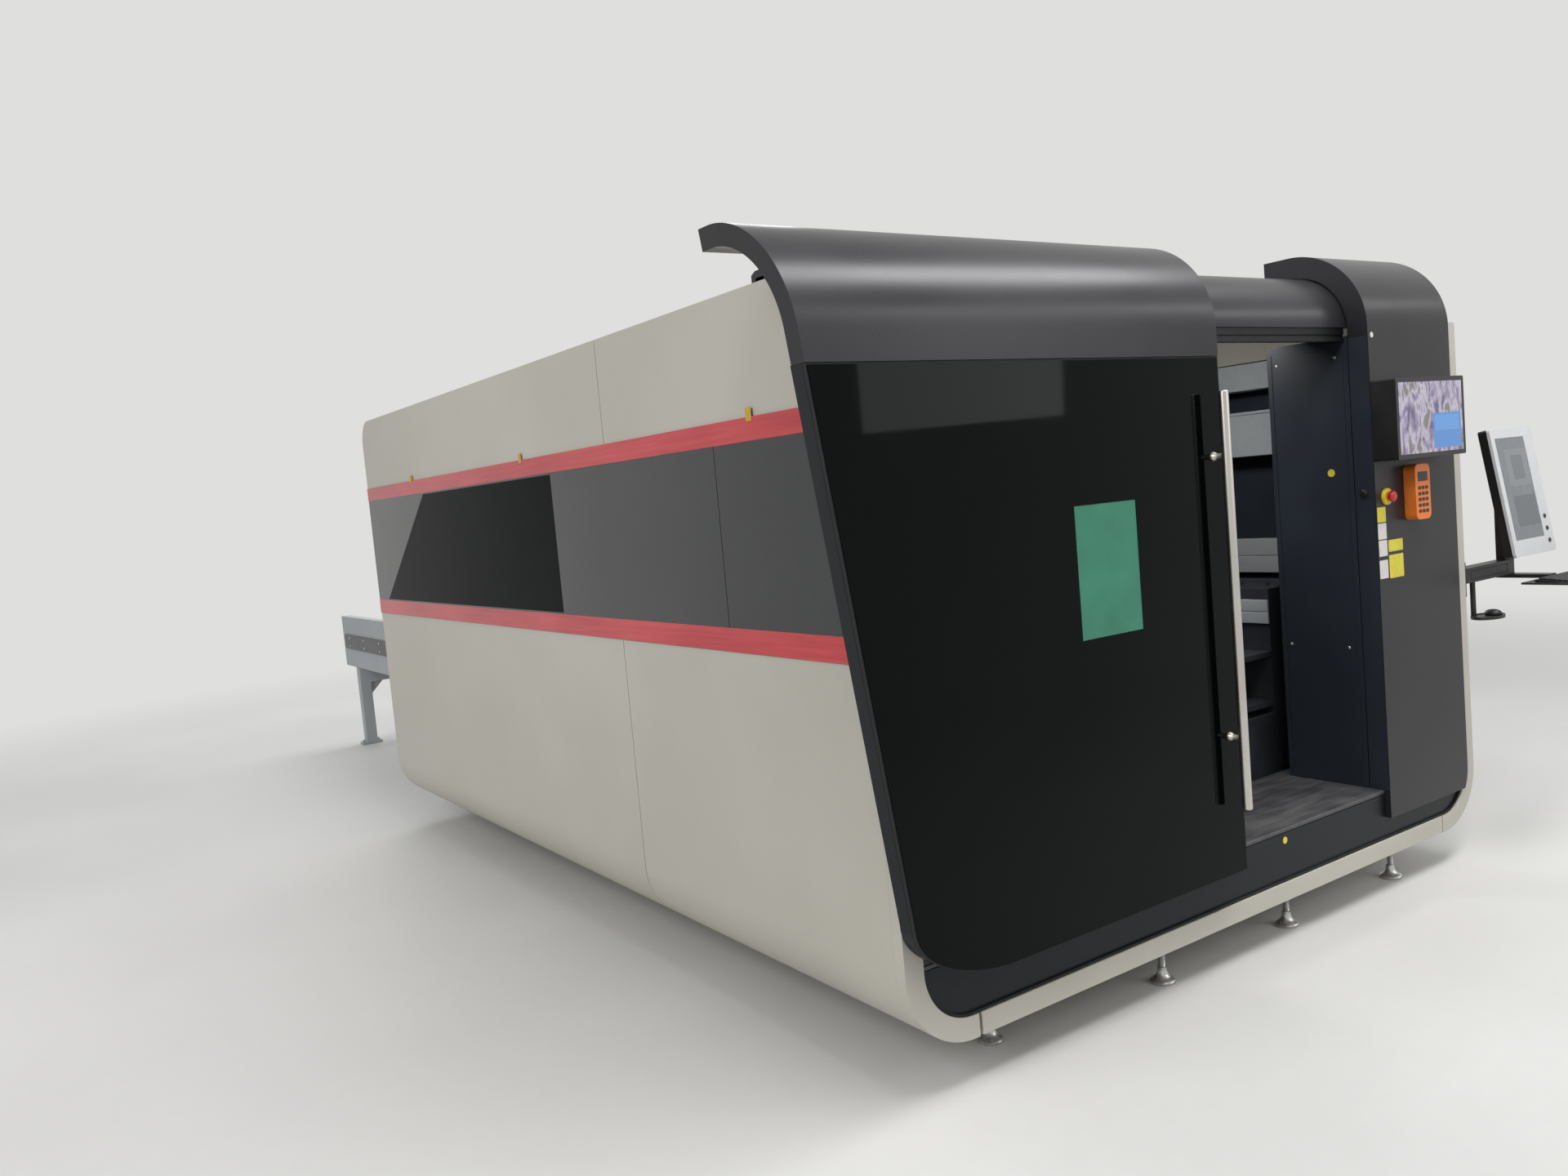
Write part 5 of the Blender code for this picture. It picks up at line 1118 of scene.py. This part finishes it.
def buildPallets():
    p = pallet
    inner, span = p.half - p.border, p.length - 2 * p.border
    count = int(span / p.slatPitch)
    for name, start in (("upper", p.start), ("lower", p.start + p.travel)):
        level, end = p.levels[name], start + p.length
        body = "pallet_" + name
        outline = slatOutline(level)
        middles = [start + p.border + n * span / count for n in range(1, count)]
        slats = [prism("slat", outline, "y", y - p.slatThick / 2, y + p.slatThick / 2)
                 for y in middles]
        dress(merged(name + "Slats", slats), scaledSteel, body=body)
        # box-section frame that holds the slats, and three cross bars under them
        hole = rectangle(-inner, inner, start + p.border, end - p.border)
        parts = [prism("frame", rectangle(-p.half, p.half, start, end), "z", level,
                       level + p.height, [hole])]
        parts += [slab("bar", (-inner - 0.002, start + y, level + p.barZ[0]),
                       (inner + 0.002, start + y + p.barWidth, level + p.barZ[1]))
                  for y in p.barsY]
        dress(merged(name + "PalletFrame", parts), scaledSteel, name + "_pallet", 0.002,
              body=body)


table = specs(
    inner=0.842, outer=0.904, base=0.600, top=0.990, start=4.3003, end=7.500, ledge=0.760,
    ledgeThick=0.020, levels=(0.850, 0.650), coverThick=0.012, coverZ=(0.740, 0.850),
    boltPitch=0.40, boltZ=(0.765, 0.825), trestles=specs(front=4.700, rear=7.150),
    depth=0.080, legWidth=0.080, pad=0.035, padThick=0.020, railTall=0.120, gusset=0.10,
    gussetY=(0.036, 0.044), anchorInset=0.018)


def buildTableBeams():
    t = table
    right = [(t.inner, t.base), (t.outer, t.base), (t.outer, t.top), (t.inner, t.top)]
    for level in t.levels:
        right += [(t.inner, level - fit), (t.ledge, level - fit),
                  (t.ledge, level - t.ledgeThick), (t.inner, level - t.ledgeThick)]
    for side, outline in (("left", flipped(right)), ("right", right)):
        dress(prism(side + "TableBeam", outline, "y", t.start, t.end), machinePaint,
              "table_beam_" + side, 0.0025, 3)
    # drive chain covers on the outer faces, and their bolts
    profile = [(0.0, 0.0), (0.008, 0.0), (0.008, 0.002), (0.007, 0.004), (0.0, 0.005)]
    count = int((t.end - t.start - 0.3) / t.boltPitch) + 1
    covers, bolts = [], []
    for sign, facing in ((-1, "left"), (1, "right")):
        x0, x1 = sorted((sign * (t.outer + fit), sign * (t.outer + t.coverThick)))
        covers.append(roundedBar("chainCover", (x0, x1, *t.coverZ), 0.004, "y", t.start + 0.12,
                                 t.end - 0.08))
        x = sign * (t.outer + t.coverThick + thinGap)
        bolts += [turned("bolt", profile, (x, t.start + 0.18 + n * t.boltPitch, z), facing, 16)
                  for n in range(count) for z in t.boltZ]
    dress(merged("chainCovers", covers), metallicEnamel, None, 0.002)
    dress(merged("tableBolts", bolts), zincPlate)


def buildTrestles():
    # welded trestles with foot plates, gussets and anchor bolts
    t = table
    inner, rail = t.outer - t.legWidth, t.base - t.railTall
    half = [(inner, rail), (inner, t.padThick), (inner - t.pad, t.padThick),
            (inner - t.pad, 0.0), (t.outer + t.pad, 0.0), (t.outer + t.pad, t.padThick),
            (t.outer, t.padThick), (t.outer, t.base - fit)]
    bolt = [(0.0, 0.0), (0.010, 0.0), (0.010, 0.006), (0.006, 0.008), (0.006, 0.016),
            (0.0, 0.017)]
    for name, y in t.trestles.items():
        trestle = prism(name + "Trestle", bothHalves(half), "y", y, y + t.depth)
        dress(trestle, machinePaint, "table_trestle_" + name, 0.003, 3)
        gussets, anchors = [], []
        for side in (-1, 1):
            x, z = side * (inner - fit), rail - fit
            corner = [(x, z), (x - side * t.gusset, z), (x, rail - t.gusset)]
            gussets.append(prism("gusset", corner, "y", *[y + step for step in t.gussetY]))
            anchors += [turned("anchor", bolt, (side * place, y + t.depth / 2,
                                                t.padThick + fit), sides=16)
                        for place in (inner - t.anchorInset, t.outer + t.anchorInset)]
        dress(merged(name + "Gussets", gussets), machinePaint)
        dress(merged(name + "Anchors", anchors), zincPlate)


buildInterior()
buildGantry()
buildCarriage()
buildHead()
buildPallets()
buildTableBeams()
buildTrestles()
print("interior, pallets and table done")


# Monitor, stop button, hand control and operator console

monitor = specs(left=0.835, right=1.295, low=1.575, high=1.860, depth=0.090, bezel=0.016,
                corner=0.008, recess=0.004, vents=15, ventPitch=0.022, ventWidth=0.012)


def buildMonitor():
    m = monitor
    front = rightCover.front - m.depth
    case = roundedBar("monitorShell", (m.left, m.right, m.low, m.high), m.corner, "y", front,
                      rightCover.front - fit)
    recess = slab("tool", (m.left + m.bezel, front - past, m.low + m.bezel),
                  (m.right - m.bezel, front + m.recess, m.high - m.bezel))
    starts = [m.left + 0.06 + n * m.ventPitch for n in range(m.vents)]
    vents = [slab("tool", (x, front + 0.03, m.high - 0.003),
                  (x + m.ventWidth, front + 0.07, m.high + past)) for x in starts]
    dress(carve(case, recess, *vents), mouldedPlastic, "monitor_case", 0.002)


stop = specs(x=0.899, z=1.448, bore=0.0113, ring=0.030, ringThick=0.012, cap=0.020,
             capBack=0.019, capThick=0.016, stem=0.011, stemBack=0.007)


def buildStop():
    s = stop
    place = (s.x, rightCover.front, s.z)
    ring = [(s.bore, fit), (s.ring, fit), (s.ring, 0.0075), (s.ring - 0.0015, 0.0105),
            (s.ring - 0.0045, s.ringThick), (s.bore, s.ringThick), (s.bore, fit)]
    dress(turned("stopRing", ring, place, "front", 56), yellowPolycarbonate, "stop_base",
          sharp=45)
    back, front = s.capBack, s.capBack + s.capThick
    cap = [(0.0, -s.stemBack), (s.stem, -s.stemBack), (s.stem, back), (s.cap - 0.002, back),
           (s.cap, back + 0.002), (s.cap, back + 0.008), (s.cap - 0.0012, back + 0.0118),
           (s.cap - 0.0045, front - 0.0015), (s.cap - 0.009, front - thinGap), (0.0, front)]
    dress(turned("stopMushroom", cap, place, "front", 56), redPolycarbonate, "stop_button",
          body="stop", sharp=45)


handControl = specs(left=1.021, right=1.121, low=1.352, high=1.552, thick=0.045, corner=0.022,
                    rows=5, columns=3, keyPitchX=0.024, keyPitchZ=0.021, keyHalfX=0.0085,
                    keyHalfZ=0.006)


def buildHandControl():
    h = handControl
    front = rightCover.front - h.thick
    body = roundedBar("handControlShell", (h.left, h.right, h.low, h.high), h.corner, "y",
                      front + 0.0016, rightCover.front - fit, 10)
    dress(body, orangeAbs, "hand_remote", 0.007, 4, sharp=50)
    keys = []
    for row in range(h.rows):
        for column in range(h.columns):
            x = h.left + 0.026 + column * h.keyPitchX
            z = h.low + 0.030 + row * h.keyPitchZ
            keys.append(roundedBar("key", (x - h.keyHalfX, x + h.keyHalfX, z - h.keyHalfZ,
                                           z + h.keyHalfZ), 0.003, "y", front, front + 0.004, 4))
    keys.append(roundedBar("display", (h.left + 0.018, h.right - 0.018, h.high - 0.062,
                                       h.high - 0.028), 0.004, "y", front + 0.0005,
                           front + 0.004, 4))
    dress(merged("handControlKeys", keys), mouldedPlastic, edge=0.0008)


panel = specs(
    half=0.170, tall=0.260, front=-0.0775, back=-0.0325, frontThick=0.012, corner=0.012,
    screenX=(-0.140, 0.095), screenZ=(-0.195, 0.220), screenDeep=0.004, earInner=0.033,
    earThick=0.010, earBack=0.018, earHalf=0.024, pinBore=0.0063, vents=8, ventPitch=0.016,
    ventTall=0.007, keyX=0.128, keysZ=(-0.215, -0.165, -0.115))


def tipped(piece):
    # a shape laid out from the panel's tilt axis, turned back with it and put in its place
    place = origin + Vector((console.headX, console.pivotY, console.tiltZ))
    piece.data.transform(Matrix.Translation(place)
                         @ Matrix.Rotation(math.radians(console.tiltDeg), 4, "X")
                         @ Matrix.Translation(-origin))
    return piece


def buildPanel():
    p = panel
    split, outline = p.front + p.frontThick, (-p.half, p.half, -p.tall, p.tall)
    case = roundedBar("panelCase", outline, p.corner, "y", split + fit, p.back)
    bore, tail = circle((0.0, 0.0), p.pinBore, 24), p.earBack - 0.014
    ear = [(p.back - 0.010, -p.earHalf), (tail, -p.earHalf)]
    ear += arcPoints((tail, 0.0), p.earHalf, -90, 90, 14)[1:-1]
    ear += [(tail, p.earHalf), (p.back - 0.010, p.earHalf)]
    ear = [(min(y, p.earBack), z) for y, z in ear]
    for side in (-1, 1):
        across = sorted((side * p.earInner, side * (p.earInner + p.earThick)))
        carve(case, prism("ear", ear, "x", *across, [bore]), operation="UNION")
    starts = [-0.20 + n * p.ventPitch for n in range(p.vents)]
    vents = [slab("tool", (-0.12, p.back - 0.003, z), (0.12, p.back + past, z + p.ventTall))
             for z in starts]
    dress(tipped(carve(case, *vents)), mouldedPlastic, "touch_panel", 0.002, body="panel")
    (x0, x1), (z0, z1) = p.screenX, p.screenZ
    bezel = roundedBar("panelBezel", outline, p.corner, "y", p.front, split)
    carve(bezel, slab("tool", (x0, p.front - past, z0), (x1, p.front + p.screenDeep, z1)))
    dress(tipped(bezel), whiteAbs, None, 0.003, 3, body="panel")
    inset = 0.0005
    sheet = slab("touchGlass", (x0 + inset, p.front + 0.0006, z0 + inset),
                 (x1 - inset, p.front + p.screenDeep - fit, z1 - inset))
    dress(tipped(sheet), touchPicture, "touch_screen", 0.0005, 1, body="panel")
    key = [(0.0, 0.0), (0.009, 0.0), (0.009, 0.002), (0.0075, 0.0035), (0.0, 0.0035)]
    keys = [turned("key", key, (p.keyX, p.front - thinGap, z), "front", 28) for z in p.keysZ]
    dress(tipped(merged("panelKeys", keys)), mouldedPlastic, body="panel")


console = specs(
    wall=1.4483, pivotX=1.505, pivotY=0.060, headX=1.900, armLow=1.0603, armHigh=1.1197,
    armRadius=0.028, pin=0.0103, tiltZ=1.385, tiltDeg=-9.4, boltY=(0.024, 0.096),
    boltZ=(1.028, 1.138), boardHalf=0.175, boardFront=-0.255, boardDepth=0.130,
    boardLow=1.0370, boardRear=0.019, boardFrontTall=0.009, keyColumns=18, keyRows=6,
    spaceBar=5, mouseX=1.650, mouseY=0.020, trayLow=0.910, trayThick=0.012, trayLong=0.080,
    trayWide=0.055, stemX=1.620)


def buildArm():
    # folded sheet over a bar: rounded ends, a shallow cable cover along its side
    c = console
    x0, x1, y, r = c.pivotX, c.headX, c.pivotY, c.armRadius
    outline = arcPoints((x0, y), r, 90, 270, 24) + arcPoints((x1, y), r, -90, 90, 24)
    holes = [circle((x, y), c.pin, 32) for x in (x0, x1)]
    arm = prism("consoleArmBar", outline, "z", c.armLow, c.armHigh, holes)
    carve(arm, slab("tool", (x0 + 0.05, y - r - past, c.armLow + 0.012),
                    (x1 - 0.05, y - r + 0.003, c.armHigh - 0.012)))
    dress(arm, mouldedPlastic, "console_arm", 0.003, 3, body="arm")
    cover = roundedBar("armCableCover", (x0 + 0.053, x1 - 0.053, c.armLow + 0.015,
                                         c.armHigh - 0.015), 0.004, "y", y - r + 0.0004,
                       y - r + 0.0028)
    dress(cover, mouldedPlastic, None, 0.0006, body="arm")
    bolt = [(0.0, 0.0), (0.007, 0.0), (0.007, 0.005), (0.0058, 0.0065), (0.0, 0.0065)]
    bolts = [turned("bolt", bolt, (c.wall + 0.0262, y, z), "right", 20)
             for y in c.boltY for z in c.boltZ]
    dress(merged("bracketBolts", bolts), zincPlate)


def buildKeyboard():
    # sloping base with key caps and a space bar
    c = console
    left, right = c.headX - c.boardHalf, c.headX + c.boardHalf
    y0, y1, z0 = c.boardFront, c.boardFront + c.boardDepth, c.boardLow
    wedge = [(y0, z0), (y1, z0), (y1, z0 + c.boardRear), (y0 + 0.004, z0 + c.boardFrontTall),
             (y0, z0 + 0.007)]
    dress(prism("keyboardBase", wedge, "x", left, right), mouldedPlastic, "keyboard", 0.002, 3,
          body="console")
    rise = (c.boardRear - c.boardFrontTall) / (c.boardDepth - 0.004)
    stepX = (right - left - 0.022) / c.keyColumns
    stepY = (c.boardDepth - 0.022) / c.keyRows
    keys = []
    for row in range(c.keyRows):
        y = y0 + 0.014 + row * stepY
        z = z0 + c.boardFrontTall + rise * (y - y0)
        for column in range(c.keyColumns):
            wide = row == 0 and column == c.spaceBar
            if row == 0 and c.spaceBar < column <= 2 * c.spaceBar:
                continue
            x = left + 0.011 + column * stepX
            end = x + stepX * (1 + c.spaceBar if wide else 1)
            keys.append(roundedBar("key", (x + 0.001, end - 0.001, y + 0.001,
                                           y + stepY - 0.0015), 0.002, "z", z + 0.0012,
                                   z + 0.0062, 2))
    dress(merged("keyboardKeys", keys), mouldedPlastic, None, 0.0006, 1, body="console")


def buildMouseTray():
    # oval tray with a raised lip, and a mouse on it
    c = console
    x, y, low, top = c.mouseX, c.mouseY, c.trayLow, c.trayLow + c.trayThick
    turns = [math.radians(a) for a in range(0, 360, 5)]
    oval = [(x + c.trayLong * math.cos(a), y + c.trayWide * math.sin(a)) for a in turns]
    tray = prism("mouseTrayPlate", oval, "z", low, top)
    hollow = [(x + (u - x) * 0.93, y + (v - y) * 0.90) for u, v in oval]
    carve(tray, prism("tool", hollow, "z", top - 0.004, top + past))
    stem = [(0.0, low + 0.002), (0.010, low + 0.002), (0.010, c.armLow - fit),
            (0.0, c.armLow - fit)]
    carve(tray, turned("stem", stem, (c.stemX, c.pivotY, 0.0), sides=28), operation="UNION")
    dress(tray, mouldedPlastic, "mouse_tray", 0.0012, body="mouse")
    profile = [(0.0, 0.0), (0.020, 0.0), (0.0225, 0.003), (0.0228, 0.008), (0.021, 0.014),
               (0.0175, 0.019), (0.012, 0.0225), (0.006, 0.024), (0.0, 0.0242)]
    mouse = turned("mouse", profile, (0.0, 0.0, 0.0), sides=40)
    place = Vector((x + 0.022, y - 0.010, top - 0.0037))
    mouse.data.transform(Matrix.Translation(origin + place)
                         @ Matrix.Diagonal((1.0, 1.45, 1.0, 1.0)) @ Matrix.Translation(-origin))
    dress(mouse, mouldedPlastic, body="mouse", sharp=50)


buildMonitor()
buildStop()
buildHandControl()
buildPanel()
buildArm()
buildKeyboard()
buildMouseTray()
print("controls done")


# Floor, light and camera

stage = specs(half=60.0, sky="#dfdfdd", fillColour="#f4f6fa", fill=0.55, fadeFrom=4.4,
              fadeTo=9.5)


def seenRays(tree):
    # 1 for rays from the camera, off glossy surfaces and through clear ones, else 0
    path = addNode(tree, "LightPath").outputs
    seen = arithmetic(tree, "MAXIMUM", path["Is Camera Ray"], path["Is Glossy Ray"])
    return arithmetic(tree, "MAXIMUM", seen, path["Is Transmission Ray"])


def buildFloor():
    s = stage
    mesh = bpy.data.meshes.new("floor")
    h = s.half
    mesh.from_pydata([(-h, -h, 0), (h, -h, 0), (h, h, 0), (-h, h, 0)], [], [(0, 1, 2, 3)])
    floor = addObject("floor", mesh)
    # sealed concrete, pale and dull, that passes into the backdrop's own tone far away
    material = surface("sealedConcretePale", None, "#cdccc9", "#d5d4d1", patchMm=1500,
                       grainMm=60, share=0.2, rough=(0.5, 0.65), ior=1.45)
    tree = material.node_tree
    place = addNode(tree, "TexCoord").outputs["Object"]
    far = addNode(tree, "VectorMath", {0: place}, operation="LENGTH")
    fade = addNode(tree, "MapRange", {
        "Value": far.outputs["Value"], "From Min": s.fadeFrom, "From Max": s.fadeTo},
        interpolation_type="SMOOTHSTEP")
    glow = addNode(tree, "Emission", {"Color": linearColour(s.sky), "Strength": seenRays(tree)})
    mix = addNode(tree, "MixShader", {
        0: fade.outputs[0], 1: tree.nodes["Principled BSDF"].outputs[0], 2: glow.outputs[0]})
    tree.links.new(mix.outputs[0], tree.nodes["Material Output"].inputs["Surface"])
    mesh.materials.append(material)


def buildWorld():
    world = bpy.data.worlds.new("studio")
    bpy.context.scene.world = world
    world.use_nodes = True
    tree = world.node_tree
    tree.nodes.clear()
    show = addNode(tree, "Background", {"Color": linearColour(stage.sky), "Strength": 1.0})
    fill = addNode(tree, "Background", {
        "Color": linearColour(stage.fillColour), "Strength": stage.fill})
    mix = addNode(tree, "MixShader", {
        0: seenRays(tree), 1: fill.outputs[0], 2: show.outputs[0]})
    addNode(tree, "OutputWorld", {"Surface": mix.outputs[0]})


# name, place, target, width, height, power, all in the frame's own metres
lamps = (
    ("overheadSoftbox", (0.2, -5.2, 5.2), (-0.4, -3.0, 1.2), 6.0, 1.0, 230.0),
    ("leftSoftbox", (-7.5, -3.0, 4.6), (-1.6, -1.6, 1.0), 5.0, 3.0, 210.0),
    ("rearSoftbox", (1.5, 5.5, 5.6), (0.0, 1.5, 0.8), 6.0, 3.0, 240.0),
    ("frontStrip", (6.0, -11.6, 6.0), (-0.4, -3.6, 1.9), 12.0, 0.30, 150.0),
    ("doorCard", (2.6, -7.9, 3.1), (-0.9, -3.66, 1.5), 1.5, 2.2, 22.0),
    ("workLight", (0.1, -2.9, 2.13), (0.5, -2.2, 0.9), 0.60, 0.05, 9.0),
)


def buildLamps():
    for name, place, target, width, height, power in lamps:
        data = bpy.data.lights.new(name, "AREA")
        data.shape = "RECTANGLE"
        data.size, data.size_y, data.energy = width, height, power
        lamp = addObject(name, data)
        lamp.location = place
        towards = Vector(target) - Vector(place)
        lamp.rotation_euler = towards.to_track_quat("-Z", "Y").to_euler()


camera = specs(place=(-3.5191, -5.989, 1.65), right=(0.823, -0.562, -0.088),
               forward=(0.556, 0.827, -0.078), lens=27.77, sensor=36.0, clip=(0.05, 200.0))


def buildCamera():
    c = camera
    data = bpy.data.cameras.new("camera")
    data.lens, data.sensor_width = c.lens, c.sensor
    data.sensor_fit = "HORIZONTAL"
    data.clip_start, data.clip_end = c.clip
    eye = addObject("camera", data)
    forward, right = Vector(c.forward).normalized(), Vector(c.right)
    right = (right - forward * right.dot(forward)).normalized()
    turn = Matrix((right, right.cross(forward), -forward)).transposed().to_4x4()
    turn.translation = c.place
    eye.matrix_world = turn
    bpy.context.scene.camera = eye


buildFloor()
buildWorld()
buildLamps()
buildCamera()
bpy.context.scene.view_settings.view_transform = "Standard"
print("stage done")
